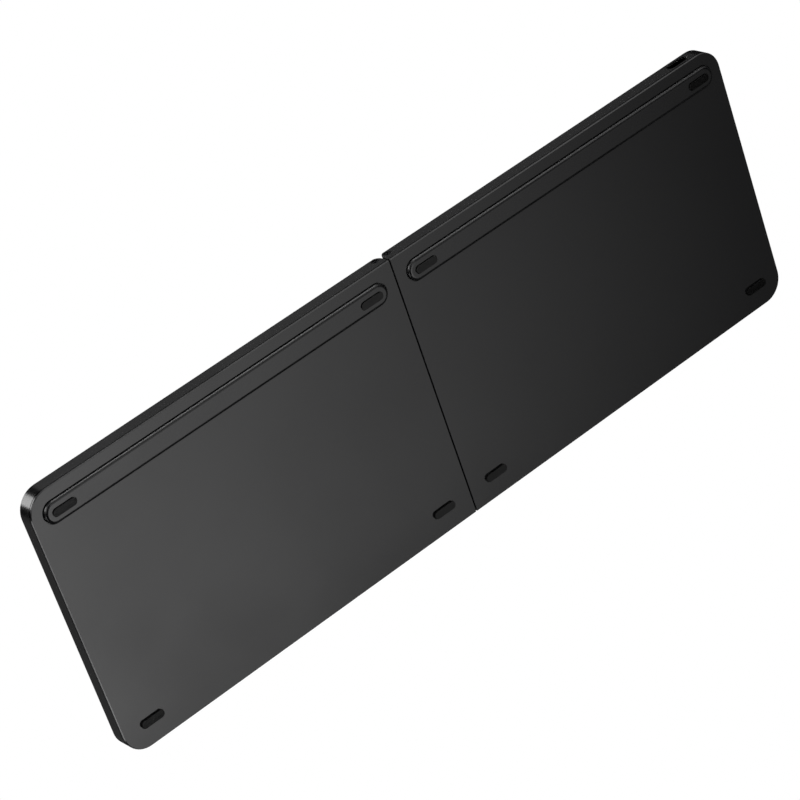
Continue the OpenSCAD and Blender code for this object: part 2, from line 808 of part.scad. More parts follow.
module screw(z0, length) {
    difference() {
        union() {
            translate([0, 0, z0]) cylinder(r = screw_head_r, h = screw_head_t);
            translate([0, 0, z0]) cylinder(r = screw_r, h = length);
        }
        translate([0, 0, z0 - eps]) cylinder(r = screw_r, h = screw_drive_t, $fn = drive_fn);
    }
}

module cover_screws() {
    for (x = bar_screw_xs) translate([x, screw_y, 0])
        screw(seat_depth, cover_t - seat_depth + bar_screw_len);
    for (x = foot_xs) translate([x, foot_y, 0])
        screw(seat_depth, screw_top - seat_depth);
}

module left_cover_screws() { color("#55565a") half(LEFT) cover_screws(); }
module right_cover_screws() { color("#55565a") half(RIGHT) cover_screws(); }

module hinge_pins() {
    for (s = [FRONT, REAR])
        mirror([0, s == FRONT ? 1 : 0, 0]) translate([pin_x, head_y, pin_z]) rotate([90, 0, 0])
            difference() {
                union() {
                    cylinder(r = head_r, h = head_t);
                    cylinder(r = pin_r, h = head_y - spine_y + pin_grip);
                }
                translate([0, 0, -eps])
                    cylinder(r = pin_drive_r, h = pin_drive_depth, $fn = drive_fn);
            }
}

module left_hinge_pins() { color("#6b6c70") half(LEFT) hinge_pins(); }
module right_hinge_pins() { color("#6b6c70") half(RIGHT) hinge_pins(); }

module hinge_washers() {
    color("#9a9ca0") seated()
        for (sx = [-1, 1], sy = [FRONT, REAR])
            translate([sx * pin_x, sy * (knuckle_y - washer_play - washer_t / 2), pin_z])
                rotate([90, 0, 0]) difference() {
                    cylinder(r = washer_r, h = washer_t, center = true);
                    cylinder(r = pin_r + pin_run, h = washer_t + over, center = true);
                }
}

// ---- Spine between the halves ----

module hinge_spine() {
    color("#303134") seated() difference() {
        along_y(-spine_y, spine_y) translate([0, pin_z])
            stadium(2 * (pin_x + spine_r), 2 * spine_r);
        for (sx = [-1, 1], sy = [FRONT, REAR])
            translate([sx * pin_x, sy * spine_y, pin_z]) rotate([sy * 90, 0, 0])
                translate([0, 0, -over])
                    cylinder(r = pin_r + pin_run, h = pin_grip + 2 * over);
        box_between(-end_x, end_x, flex_y - flex_w / 2 - flex_slot,
                    flex_y + flex_w / 2 + flex_slot, pin_z - flex_slot, pin_z + flex_slot);
        for (s = [0, 1]) mirror([s, 0, 0])
            box_between(pin_x, end_x, flex_y - flex_w / 2 - flex_slot,
                        flex_y + flex_w / 2 + flex_slot, 0, body_t);
    }
}

// ---- Flex cable from the main board through the spine to the right half ----

flex_dip = 0.4;
flex_rise = 0.2;
flex_half = [
    [0, pin_z], [pin_x, pin_z], [(pin_x + inner_x) / 2, pin_z - flex_dip],
    [inner_x, (pin_z + flex_z) / 2], [field_x0 + flex_room / 2, flex_z + flex_rise],
    [field_x0 + 2 * flex_room, flex_z]
];

module flex_run(tail_x) {
    path = concat(flex_half, [[tail_x, flex_z]]);
    n = len(path);
    along_y(flex_y - flex_w / 2, flex_y + flex_w / 2)
        polygon(concat([for (p = path) [p[0], p[1] + flex_t / 2]],
                       [for (i = [n - 1:-1:0]) [path[i][0], path[i][1] - flex_t / 2]]));
}

module flex_cable() {
    color("#b5702a") seated() {
        flex_run(field_x0 + flex_tail);
        mirror([1, 0, 0]) flex_run(board_x0 - fit);
    }
}

// ---- Main board, battery, charging socket and magnet ----

module main_board() {
    color("#1d3b2c") half(LEFT) {
        translate([0, 0, board_z]) linear_extrude(board_t) difference() {
            translate([(board_x0 + board_x1) / 2, (board_y0 + board_y1) / 2])
                round_rect(board_x1 - board_x0, board_y1 - board_y0,
                           corner_r - wall_t - lip_t - fit);
            for (x = bar_screw_xs) translate([x, screw_y]) circle(boss_r + 2 * fit);
        }
        for (c = CHIPS) translate([board_x0 + c[0], board_y0 + c[1], board_z + board_t - eps])
            cube([c[2], c[3], chip_t]);
        translate([board_x0 + fit, flex_y - flex_w / 2, board_z + board_t - eps])
            cube([connector_l, flex_w, chip_t]);
    }
}

module battery() {
    color("#9fa3a8") half(LEFT)
        translate([battery_x + battery_l / 2, battery_y + battery_w / 2, battery_z])
            linear_extrude(battery_t) round_rect(battery_l, battery_w, battery_r);
}

module charging_socket() {
    color("#c9cbcf") half(LEFT) translate([usb_x, rear_y - usb_mouth, usb_z]) rotate([90, 0, 0]) {
        difference() {
            linear_extrude(usb_l) socket_section(0);
            translate([0, 0, -over]) linear_extrude(usb_l - usb_wall + over)
                socket_section(-usb_wall);
        }
        translate([-tongue_w / 2, -tongue_t / 2, tongue_mouth])
            cube([tongue_w, tongue_t, usb_l - tongue_mouth - eps]);
    }
}

module sensor_magnet() {
    color("#b0b2b6") half(RIGHT) translate([magnet_x, magnet_y, deck_top - magnet_t])
        cylinder(r = magnet_r, h = magnet_t - fit / 2);
}

// ---- Keycaps ----

stem_r = 1.6;
clip_w = 0.8;
clip_h = 0.5;
clip_l = slot_d() / 4;

// Block that narrows from w at the bottom to w - 2 * cap_taper at the top
module lean_block(w, length) {
    rotate([90, 0, 0]) linear_extrude(length, center = true)
        polygon([[-w / 2, 0], [w / 2, 0], [w / 2 - cap_taper, cap_h], [cap_taper - w / 2, cap_h]]);
}

module cap_outside(w, d) {
    intersection() {
        linear_extrude(cap_h) round_rect(w, d, cap_corner_r);
        lean_block(w, d + over);
        rotate([0, 0, 90]) lean_block(d, w + over);
    }
}

// Cylinder that scoops a finger dish out of the top; a narrow cap gets a shallower one
dish_r = pow(key_pitch_x - cap_gap_x, 2) / (8 * cap_dish);

module dish(w, d) {
    depth = min(cap_dish, w * w / (8 * dish_r));
    translate([0, 0, cap_h - depth + dish_r]) rotate([90, 0, 0])
        cylinder(r = dish_r, h = d + over, center = true, $fn = dish_fn);
}

module cap(w, d) {
    difference() {
        cap_outside(w, d);
        if (w < wide_key) dish(w, d);
        translate([0, 0, -eps]) linear_extrude(cap_h - cap_roof_t)
            square([w - 2 * cap_wall_t, d - 2 * cap_wall_t], center = true);
    }
    for (dx = support_dxs(w)) translate([dx, 0, 0]) {
        translate([0, 0, support_top - cap_z + eps])
            cylinder(r = stem_r, h = cap_h - cap_roof_t - support_top + cap_z);
        for (s = [-1, 1]) translate([s * support_w(w) / 2 - clip_w / 2, -clip_l / 2,
                                     cap_h - cap_roof_t - clip_h])
            cube([clip_w, clip_l, clip_h + eps]);
    }
}

module key_node(name) {
    color("#26262a")
        for (side = [LEFT, RIGHT], k = keys(side)) if (k[0] == name)
            half(side) translate([k[1], k[2], cap_z]) cap(k[3], k[4]);
}

left_bottom_cover();
left_frame();
left_deck();
left_support_bar();
left_feet();
left_key_plate();
left_dome_mat();
left_scissors();
left_cover_screws();
left_hinge_pins();
main_board();
battery();
charging_socket();
hinge_spine();
hinge_washers();
flex_cable();
right_bottom_cover();
right_frame();
right_deck();
right_support_bar();
right_feet();
right_key_plate();
right_dome_mat();
right_scissors();
right_cover_screws();
right_hinge_pins();
sensor_magnet();
for (name = KEY_NODES) key_node(name);
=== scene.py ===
# %% [markdown]
# # Dressing a folding keyboard
# The CAD model already has every solid piece at its real size: two halves, a spine with
# four pins, keycaps, rubber feet. Blender adds what a solid can't say: how the plastic
# feels, what is printed on the keys, and how the flat cable bends round its pins.
# Everything below works in metres, in the same frame as the CAD.

# %% Load the model
import json
import math

import bmesh
import bpy
from mathutils import Matrix, Vector


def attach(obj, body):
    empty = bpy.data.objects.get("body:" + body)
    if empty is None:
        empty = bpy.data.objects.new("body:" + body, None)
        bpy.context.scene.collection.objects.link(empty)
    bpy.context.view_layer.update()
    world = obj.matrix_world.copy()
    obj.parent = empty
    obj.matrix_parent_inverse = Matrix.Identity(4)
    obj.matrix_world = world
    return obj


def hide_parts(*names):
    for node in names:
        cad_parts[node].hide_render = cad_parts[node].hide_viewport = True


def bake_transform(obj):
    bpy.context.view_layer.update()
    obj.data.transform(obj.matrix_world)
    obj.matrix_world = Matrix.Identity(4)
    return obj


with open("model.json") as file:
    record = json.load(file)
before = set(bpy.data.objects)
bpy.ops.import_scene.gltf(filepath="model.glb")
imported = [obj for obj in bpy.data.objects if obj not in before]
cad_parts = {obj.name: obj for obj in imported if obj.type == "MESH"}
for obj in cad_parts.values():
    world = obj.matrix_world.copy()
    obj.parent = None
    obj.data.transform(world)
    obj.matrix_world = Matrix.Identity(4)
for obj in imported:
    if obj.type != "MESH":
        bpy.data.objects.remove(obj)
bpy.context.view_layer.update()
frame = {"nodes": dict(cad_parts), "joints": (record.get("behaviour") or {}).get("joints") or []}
nodes = frame["nodes"]
scene = bpy.context.scene
MM = 0.001
print("pieces in the CAD model:", len(nodes))

# %% [markdown]
# ## The keyboard's own axes
# The keyboard stands on feet that are taller at the rear, so its top leans forward by a
# little over half a degree. Working in tilted numbers is a sure way to make mistakes. The
# two hinge pins run exactly from front to rear, so they give us the keyboard's own axes:
# x to the typist's right, y along the pins to the rear, z square to the deck of keys.

# %% Axes from the hinge pins
joints = {joint["name"]: joint for joint in frame["joints"]}
left_pin = Vector(joints["fold_left_pin"]["pos_m"])
right_pin = Vector(joints["fold_right_pin"]["pos_m"])
rearward = -Vector(joints["fold_left_pin"]["axis"]).normalized()
rightward = (right_pin - left_pin).normalized()
upward = rightward.cross(rearward)
KEYBOARD = Matrix((rightward, rearward, upward)).transposed().to_4x4()
KEYBOARD.translation = (left_pin + right_pin) / 2
PIN_HEIGHT = 4.4


def at(x, y, z):
    """A point in millimetres, z above the underside, as a place in the scene."""
    return KEYBOARD @ (Vector((x, y, z - PIN_HEIGHT)) * MM)


def direction(x, y, z):
    """A direction in the keyboard's own axes, as one in the scene."""
    return (KEYBOARD.to_3x3() @ Vector((x, y, z))).normalized()


print("the keyboard leans by", round(math.degrees(math.asin(rearward.z)), 3), "degrees")

# %% [markdown]
# ## Measuring the pieces
# The sizes of the caps could be typed in again, but then the print would miss its keys as
# soon as the CAD changed. So what has to fit a piece is measured on the piece itself.

# %% Measure a node in the keyboard's own axes
to_keyboard = KEYBOARD.inverted()


def measure(name):
    """Lowest and highest corner of a CAD node, in millimetres, z above the underside."""
    points = [to_keyboard @ v.co / MM for v in nodes[name].data.vertices]
    low = Vector([min(p[i] for p in points) for i in range(3)])
    high = Vector([max(p[i] for p in points) for i in range(3)])
    lift = Vector((0, 0, PIN_HEIGHT))
    return low + lift, high + lift


cap_low, cap_high = measure("key_y")
cap_middle = (cap_low + cap_high) / 2
print("the Y key is", [round(v, 2) for v in cap_high - cap_low], "mm")

# %% [markdown]
# ## The camera
# The view is from below and behind, as if the open keyboard were held up to show its
# underside. A long lens a metre away keeps the edges almost parallel, as in a catalogue.
# A camera looks along its own -Z with +Y up, so its matrix is built from three
# directions: to the right of the picture, up in the picture, and back to the camera.

# %% Place the camera
CAMERA_AT = (489.8, 521.8, -837.6)
LOOKING = (-0.43524, -0.47351, 0.76573)
ACROSS = (-0.74064, -0.29524, -0.60355)
LENS_MM = 149.87
SENSOR_MM = 36


def new_object(name, data):
    """Puts a mesh, a text, a lamp or a camera into the scene."""
    made = bpy.data.objects.new(name, data)
    scene.collection.objects.link(made)
    return made


camera_data = bpy.data.cameras.new("camera")
camera_data.lens = LENS_MM
camera_data.sensor_width = SENSOR_MM
camera = new_object("camera", camera_data)
backward = -direction(*LOOKING)
across = direction(*ACROSS)
picture_up = backward.cross(across).normalized()
camera.matrix_world = Matrix((across, picture_up, backward)).transposed().to_4x4()
camera.matrix_world.translation = at(*CAMERA_AT)
scene.camera = camera
print("camera is", round(camera.matrix_world.translation.length, 2), "m from the keyboard")

# %% [markdown]
# ## Small helpers for shader nodes
# Procedural materials are networks of nodes. They could be wired by hand in the shader
# editor, but the same few patterns come back in every one. Short helpers keep the recipes
# below readable: they start a material, make a node, make a group that many materials
# share, and place such a group in a material with this material's own values.

# %% Helpers that make materials, nodes and groups
def new_material(name):
    """A material with nodes, with its tree and its main shader."""
    material = bpy.data.materials.new(name)
    material.use_nodes = True
    return material, material.node_tree, material.node_tree.nodes["Principled BSDF"]


def add(tree, kind, **settings):
    """A new node with its settings."""
    node = tree.nodes.new(kind)
    for name, value in settings.items():
        setattr(node, name, value)
    return node


def new_group(name, inputs, outputs):
    """An empty group with number inputs {name: value} and outputs {name: kind}."""
    group = bpy.data.node_groups.new(name, "ShaderNodeTree")
    for socket, value in inputs.items():
        made = group.interface.new_socket(socket, in_out="INPUT",
                                          socket_type="NodeSocketFloat")
        made.default_value = value
    for socket, kind in outputs.items():
        group.interface.new_socket(socket, in_out="OUTPUT",
                                   socket_type="NodeSocket" + kind)
    return group, add(group, "NodeGroupInput"), add(group, "NodeGroupOutput")


def place(tree, group, **values):
    """Puts a group into a material with its own values."""
    node = add(tree, "ShaderNodeGroup", node_tree=group)
    for name, value in values.items():
        node.inputs[name].default_value = value
    return node


print("helpers that make nodes are ready")

# %% [markdown]
# ## Small helpers that reckon with masks
# A mask is a number from 0 to 1 at every place of a surface. Three kinds of sum are
# enough for nearly all that follows: stretch a mask to another range, blend two colours
# by it, and combine it with another one.

# %% Helpers that reckon
MIX_FIRST, MIX_SECOND, MIX_RESULT = 6, 7, 2  # the Mix node's sockets for colours


def remap(tree, source, low, high, new_low, new_high):
    """Stretches a value from one range to another, and clamps it there."""
    node = add(tree, "ShaderNodeMapRange")
    tree.links.new(source, node.inputs["Value"])
    for name, value in (("From Min", low), ("From Max", high),
                        ("To Min", new_low), ("To Max", new_high)):
        node.inputs[name].default_value = value
    return node.outputs["Result"]


def fill(tree, socket, value):
    """Gives a socket a value, or a link where the value is itself a socket."""
    if isinstance(value, bpy.types.NodeSocket):
        tree.links.new(value, socket)
    else:
        socket.default_value = value


def shade(colour, factor):
    """A colour made darker by a factor."""
    return tuple(c * factor for c in colour)


def blend_colours(tree, mask, first, second):
    """first where the mask is 0, second where it is 1; each a colour or a socket."""
    node = add(tree, "ShaderNodeMix", data_type="RGBA")
    tree.links.new(mask, node.inputs["Factor"])
    for index, colour in ((MIX_FIRST, first), (MIX_SECOND, second)):
        fill(tree, node.inputs[index], (*colour, 1) if isinstance(colour, tuple) else colour)
    return node.outputs[MIX_RESULT]


def combine(tree, operation, first, second):
    """A Math node on two sockets or numbers."""
    node = add(tree, "ShaderNodeMath", operation=operation)
    for socket, value in zip(node.inputs, (first, second)):
        fill(tree, socket, value)
    return node.outputs["Value"]


print("helpers that reckon are ready")

# %% [markdown]
# ## Shared effect: moulded skin
# An injection mould is spark-eroded, which leaves a fine, even orange-peel on the part.
# Seen close it is a bump of a tenth of a millimetre or so; seen from afar it only makes
# the gloss uneven in soft clouds. One group gives both: a height for the Bump node, and
# a cloud mask that can tint the colour and the roughness.

# %% Build the moulded skin group
FINE_DETAIL, CLOUD_DETAIL = 2, 4
CLOUD_FROM, CLOUD_TO = 0.3, 0.7

moulded_skin, skin_in, skin_out = new_group(
    "moulded skin", {"Grain": 9000.0, "Cloud": 25.0}, {"Height": "Float", "Clouds": "Float"})
skin_place = add(moulded_skin, "ShaderNodeTexCoord")
fine = add(moulded_skin, "ShaderNodeTexNoise")
cloud = add(moulded_skin, "ShaderNodeTexNoise")
for noise, control, detail in ((fine, "Grain", FINE_DETAIL), (cloud, "Cloud", CLOUD_DETAIL)):
    noise.inputs["Detail"].default_value = detail
    moulded_skin.links.new(skin_place.outputs["Object"], noise.inputs["Vector"])
    moulded_skin.links.new(skin_in.outputs[control], noise.inputs["Scale"])
moulded_skin.links.new(fine.outputs["Fac"], skin_out.inputs["Height"])
moulded_skin.links.new(remap(moulded_skin, cloud.outputs["Fac"], CLOUD_FROM, CLOUD_TO, 0, 1),
                       skin_out.inputs["Clouds"])
print("group:", moulded_skin.name)

# %% [markdown]
# ## Shared effect: softened edges
# CAD edges are perfectly sharp, and no moulded or stamped edge is. The Bevel node bends
# the shading normal within a small radius of an edge, so the edge catches a thin line of
# light without any new geometry. Comparing that normal with the true one also gives a
# mask of where the edges are. The recipes paint the edges paler by it: partly where hands
# rub the surface smooth and pale, partly a painted highlight along every edge.

# %% Build the soft edge group
BEVEL_SAMPLES = 6
STILL_FLAT, FULL_EDGE = 0.98, 0.75  # how closely the bent and the true normal agree

soft_edge, edge_in, edge_out = new_group(
    "soft edge", {"Radius": 0.0002}, {"Normal": "Vector", "Edge": "Float"})
bevel = add(soft_edge, "ShaderNodeBevel", samples=BEVEL_SAMPLES)
soft_edge.links.new(edge_in.outputs["Radius"], bevel.inputs["Radius"])
true_normal = add(soft_edge, "ShaderNodeNewGeometry")
compare = add(soft_edge, "ShaderNodeVectorMath", operation="DOT_PRODUCT")
soft_edge.links.new(bevel.outputs["Normal"], compare.inputs[0])
soft_edge.links.new(true_normal.outputs["Normal"], compare.inputs[1])
soft_edge.links.new(bevel.outputs["Normal"], edge_out.inputs["Normal"])
soft_edge.links.new(remap(soft_edge, compare.outputs["Value"], STILL_FLAT, FULL_EDGE, 0, 1),
                    edge_out.inputs["Edge"])
print("group:", soft_edge.name)

# %% [markdown]
# ## Shared effect: handling marks
# A keyboard that travels picks up faint rub marks and a little dust. The marks are noise
# stretched along one direction and cut off high, so that only thin streaks stay. They
# are mixed in very weakly: they should be felt more than seen.

# %% Build the handling marks group
STREAK_DETAIL, STREAK_WANDER = 5, 0.6
STREAK_FROM, STREAK_TO = 0.62, 0.8

handling, marks_in, marks_out = new_group(
    "handling marks", {"Size": 60.0, "Stretch": 12.0}, {"Marks": "Float"})
marks_place = add(handling, "ShaderNodeTexCoord")
stretch = add(handling, "ShaderNodeCombineXYZ")
stretch.inputs["X"].default_value = 1
stretch.inputs["Z"].default_value = 1
handling.links.new(marks_in.outputs["Stretch"], stretch.inputs["Y"])
stretched = add(handling, "ShaderNodeVectorMath", operation="MULTIPLY")
handling.links.new(marks_place.outputs["Object"], stretched.inputs[0])
handling.links.new(stretch.outputs["Vector"], stretched.inputs[1])
streaks = add(handling, "ShaderNodeTexNoise")
streaks.inputs["Detail"].default_value = STREAK_DETAIL
streaks.inputs["Distortion"].default_value = STREAK_WANDER
handling.links.new(stretched.outputs["Vector"], streaks.inputs["Vector"])
handling.links.new(marks_in.outputs["Size"], streaks.inputs["Scale"])
handling.links.new(remap(handling, streaks.outputs["Fac"], STREAK_FROM, STREAK_TO, 0, 1),
                   marks_out.inputs["Marks"])
print("group:", handling.name)

# %% [markdown]
# ## One recipe for every plastic and rubber piece
# Covers, frames, deck, caps, bars and feet are all dark polymers. They differ in colour,
# in how rough they are and in how deep the mould's grain is, so one recipe with named
# values serves them all. Fixed values such as the specular level are set on the shader
# itself; only what varies over the surface arrives through links.

# %% Recipe: polymer
BUMP_DISTANCE = 0.0001
CLOUD_SIZE = 18.0
CLOUD_SHADE = 0.86
# how much paler rub marks and edges are painted: wear, and on the edges also a painted highlight
WEAR_AND_HIGHLIGHT_TIMES, WEAR_AND_HIGHLIGHT_PLUS = 1.6, 0.01
UNEVEN_GLOSS = 0.05
WORN_POLISH = -0.15


def bumped(tree, shader, height, depth, normal):
    """Lets a height shade the surface, on top of its softened edges."""
    bump = add(tree, "ShaderNodeBump")
    bump.inputs["Strength"].default_value = depth
    bump.inputs["Distance"].default_value = BUMP_DISTANCE
    tree.links.new(height, bump.inputs["Height"])
    tree.links.new(normal, bump.inputs["Normal"])
    tree.links.new(bump.outputs["Normal"], shader.inputs["Normal"])


def polymer(name, colour, roughness, specular=0.3, grain=6000.0, grain_depth=0.06,
            edge_radius=0.00015, edge_wear_and_highlight=0.25, marks=0.06):
    """Plastic, rubber or paint, with its grain, handling marks, and edges painted paler for wear
    and as a painted highlight.
    """
    material, tree, shader = new_material(name)
    shader.inputs["Specular IOR Level"].default_value = specular
    skin = place(tree, moulded_skin, Grain=grain, Cloud=CLOUD_SIZE)
    edge = place(tree, soft_edge, Radius=edge_radius)
    rubbed = place(tree, handling)
    # the paler colour serves the rub streaks (wear) and the edges (wear and a painted highlight)
    paler_for_wear_and_highlight = tuple(min(1.0, c * WEAR_AND_HIGHLIGHT_TIMES + WEAR_AND_HIGHLIGHT_PLUS) for c in colour)
    clouds = blend_colours(tree, skin.outputs["Clouds"], shade(colour, CLOUD_SHADE), colour)
    # painted highlight along the edges, together with their rubbed wear
    edge_wear_and_highlight_mask = combine(tree, "MULTIPLY", edge.outputs["Edge"], edge_wear_and_highlight)
    streaked = combine(tree, "MULTIPLY", rubbed.outputs["Marks"], marks)
    wear_and_highlight_mask = combine(tree, "MAXIMUM", edge_wear_and_highlight_mask, streaked)
    tree.links.new(blend_colours(tree, wear_and_highlight_mask, clouds, paler_for_wear_and_highlight), shader.inputs["Base Color"])
    uneven = remap(tree, skin.outputs["Clouds"], 0, 1,
                   roughness + UNEVEN_GLOSS, roughness - UNEVEN_GLOSS)
    polished = combine(tree, "MULTIPLY", wear_and_highlight_mask, WORN_POLISH)
    tree.links.new(combine(tree, "ADD", uneven, polished), shader.inputs["Roughness"])
    bumped(tree, shader, skin.outputs["Height"], grain_depth, edge.outputs["Normal"])
    return material


print("recipe for polymers is ready")

# %% [markdown]
# ## The blacks
# No two black pieces of a product are quite the same black. The covers and the rear bars
# are pressed in polished moulds and mirror the room, the frames a little less. The caps
# and the deck are matt, so that fingers don't show on them, and the feet are soft rubber.

# %% The plastics and rubbers
COVER_BLACK = (0.005, 0.005, 0.0055)
FRAME_BLACK = (0.008, 0.008, 0.0085)
DECK_BLACK = (0.014, 0.014, 0.016)
CAP_BLACK = (0.020, 0.020, 0.022)
BAR_BLACK = (0.005, 0.005, 0.0055)
FOOT_BLACK = (0.005, 0.005, 0.005)
DOME_GREY = (0.55, 0.58, 0.55)
SUPPORT_IVORY = (0.78, 0.77, 0.72)
# the edge value here sets how much paler the edges are painted, for wear and as a painted
# highlight
POLISHED = {"specular": 0.5, "edge_radius": 0.00005, "edge_wear_and_highlight": 0.08}

cover_plastic = polymer("cover plastic", COVER_BLACK, roughness=0.2, grain_depth=0.03,
                        **POLISHED)
frame_plastic = polymer("frame plastic", FRAME_BLACK, roughness=0.24, grain_depth=0.02,
                        **POLISHED)
bar_plastic = polymer("bar plastic", BAR_BLACK, roughness=0.24, grain_depth=0.03, **POLISHED)
deck_plastic = polymer("deck plastic", DECK_BLACK, roughness=0.65)
cap_plastic = polymer("keycap plastic", CAP_BLACK, roughness=0.5, grain=9000.0, marks=0.1)
foot_rubber = polymer("foot rubber", FOOT_BLACK, roughness=0.38, specular=0.2, grain=3000.0,
                      grain_depth=0.10, marks=0.1)
dome_rubber = polymer("dome rubber", DOME_GREY, roughness=0.45, grain_depth=0.02)
support_plastic = polymer("support plastic", SUPPORT_IVORY, roughness=0.35, grain_depth=0.02)
print("cover black:", COVER_BLACK, "cap black:", CAP_BLACK)

# %% [markdown]
# ## Painted spine
# The spine between the halves is a steel bar with a matt black stove paint. Paint is a
# polymer too, so it shares that recipe, with a deeper orange-peel and more rubbed edges,
# because the spine is what a hand grips to open the keyboard. Its paler edges are also a
# painted highlight.

# %% Spine paint
SPINE_BLACK = (0.012, 0.012, 0.013)
spine_paint = polymer("spine paint", SPINE_BLACK, roughness=0.42, specular=0.5,
                      grain=2500.0, grain_depth=0.08, edge_wear_and_highlight=0.2)
print("material:", spine_paint.name)

# %% [markdown]
# ## One recipe for every metal piece
# Stamped and drawn steel shows fine parallel lines from the roll or the lathe. A wave
# would draw them too evenly. Noise squeezed hard along one axis gives uneven ones, and
# they change the roughness more than the colour. The same soft edges as on plastic take
# the sharpness off.

# %% Recipe: metal
SMALL_EDGE = 0.0001
LINE_DETAIL = 3
LINE_SHADE = 0.8
LINE_FROM, LINE_TO = 0.3, 0.7
LINE_GLOSS = 0.08


def metal(name, colour, roughness, lines=700.0, squeeze=(1, 0.03, 1), line_depth=0.03):
    """Steel, nickel or foil, with the lines that its making leaves."""
    material, tree, shader = new_material(name)
    shader.inputs["Metallic"].default_value = 1
    where = add(tree, "ShaderNodeTexCoord")
    squeezed = add(tree, "ShaderNodeMapping")
    squeezed.inputs["Scale"].default_value = squeeze
    tree.links.new(where.outputs["Object"], squeezed.inputs["Vector"])
    drawn = add(tree, "ShaderNodeTexNoise")
    drawn.inputs["Scale"].default_value = lines
    drawn.inputs["Detail"].default_value = LINE_DETAIL
    tree.links.new(squeezed.outputs["Vector"], drawn.inputs["Vector"])
    edge = place(tree, soft_edge, Radius=SMALL_EDGE)
    lined = blend_colours(tree, drawn.outputs["Fac"], shade(colour, LINE_SHADE), colour)
    tree.links.new(lined, shader.inputs["Base Color"])
    uneven = remap(tree, drawn.outputs["Fac"], LINE_FROM, LINE_TO,
                   roughness - LINE_GLOSS, roughness + LINE_GLOSS)
    tree.links.new(uneven, shader.inputs["Roughness"])
    bumped(tree, shader, drawn.outputs["Fac"], line_depth, edge.outputs["Normal"])
    return material


print("recipe for metals is ready")

# %% [markdown]
# ## The metals
# The key plate is zinc plated against rust, and the washers are bare spring steel. The
# pins and screws are blackened so that they vanish between the black pieces. The magnet
# is nickel plated, and the battery is a pouch of crinkled aluminium foil: its lines run
# every way and are far deeper.

# %% The metal pieces
ZINC_GREY = (0.56, 0.57, 0.58)
PIN_BLACK = (0.05, 0.05, 0.055)
SCREW_BLACK = (0.10, 0.10, 0.11)
SPRING_GREY = (0.52, 0.52, 0.53)
NICKEL = (0.66, 0.65, 0.63)
FOIL_GREY = (0.60, 0.61, 0.63)

plate_steel = metal("zinc plated steel", ZINC_GREY, roughness=0.38)
pin_steel = metal("blackened pin steel", PIN_BLACK, roughness=0.3, lines=1500.0)
screw_steel = metal("blackened steel", SCREW_BLACK, roughness=0.35)
washer_steel = metal("spring steel", SPRING_GREY, roughness=0.3, lines=1500.0)
magnet_nickel = metal("nickel plate", NICKEL, roughness=0.15, line_depth=0.0)
battery_foil = metal("pouch foil", FOIL_GREY, roughness=0.4, lines=120.0,
                     squeeze=(1, 1, 1), line_depth=0.3)
print("pin black:", PIN_BLACK, "zinc grey:", ZINC_GREY)

# %% [markdown]
# ## Circuit board
# The solder mask is green where it lies on bare laminate and paler where copper runs
# under it. A real layout would take a picture, and nobody sees it unless the case is
# opened, so a grid of lines with soft breaks stands in for the traces. The chips on the
# board stand higher than the mask, so height above the board paints them black.

# %% Height as a mask
def along_axis(tree, axis):
    """How far a place lies along one of the keyboard's axes, in metres."""
    where = add(tree, "ShaderNodeTexCoord")
    along = add(tree, "ShaderNodeVectorMath", operation="DOT_PRODUCT")
    tree.links.new(where.outputs["Object"], along.inputs[0])
    along.inputs[1].default_value = axis
    return along.outputs["Value"]


print("up is", [round(v, 4) for v in upward])

# %% Circuit board material
BOARD_TOP = 1.9
ABOVE_MASK = 0.05
MASK_GREEN, MASK_GREEN_TOO = (0.010, 0.075, 0.035, 1), (0.012, 0.090, 0.042, 1)
TRACE_GREEN = (0.035, 0.16, 0.07, 1)
TRACE_SCALE, TRACE_WIDTH = 260, 0.03
CHIP_BLACK = (0.02, 0.02, 0.022)
MASK_ROUGHNESS, CHIP_ROUGHNESS = 0.3, 0.6


def circuit_board(name):
    """Solder mask with traces, and black wherever something stands on the board."""
    material, tree, shader = new_material(name)
    where = add(tree, "ShaderNodeTexCoord")
    traces = add(tree, "ShaderNodeTexBrick", offset=0.35, squash=2.0, squash_frequency=3)
    for socket, value in (("Scale", TRACE_SCALE), ("Mortar Size", TRACE_WIDTH),
                          ("Color1", MASK_GREEN), ("Color2", MASK_GREEN_TOO),
                          ("Mortar", TRACE_GREEN)):
        traces.inputs[socket].default_value = value
    tree.links.new(where.outputs["Object"], traces.inputs["Vector"])
    mask_top = at(0, 0, BOARD_TOP + ABOVE_MASK).dot(upward)
    chips = combine(tree, "GREATER_THAN", along_axis(tree, upward), mask_top)
    tree.links.new(blend_colours(tree, chips, traces.outputs["Color"], CHIP_BLACK),
                   shader.inputs["Base Color"])
    tree.links.new(remap(tree, chips, 0, 1, MASK_ROUGHNESS, CHIP_ROUGHNESS),
                   shader.inputs["Roughness"])
    edge = place(tree, soft_edge, Radius=SMALL_EDGE)
    tree.links.new(edge.outputs["Normal"], shader.inputs["Normal"])
    return material


board_mask = circuit_board("solder mask")
print("material:", board_mask.name)

# %% [markdown]
# ## Charging socket
# The socket is a drawn steel shell round a tongue. The tongue and the lining behind it
# are black moulded plastic. They belong to the same solid as the shell, so one material
# has to dress them all: what lies inside the shell's own wall is painted black by its
# place. That black also covers the shell's own inner walls, which are metal: there it is
# painted shade deep in the port. Only the bright rim shows at the mouth.

# %% Socket material
SHELL_WALL = 0.3
BRIGHT_SHARE = 0.9
# the inside black is the plastic tongue and lining, and painted shade on the shell's inner walls
SHELL_NICKEL, INSIDE_BLACK_AND_SHADE = (0.62, 0.61, 0.59), (0.006, 0.006, 0.006)
SHELL_ROUGHNESS = 0.25
socket_low, socket_high = measure("charging_socket")


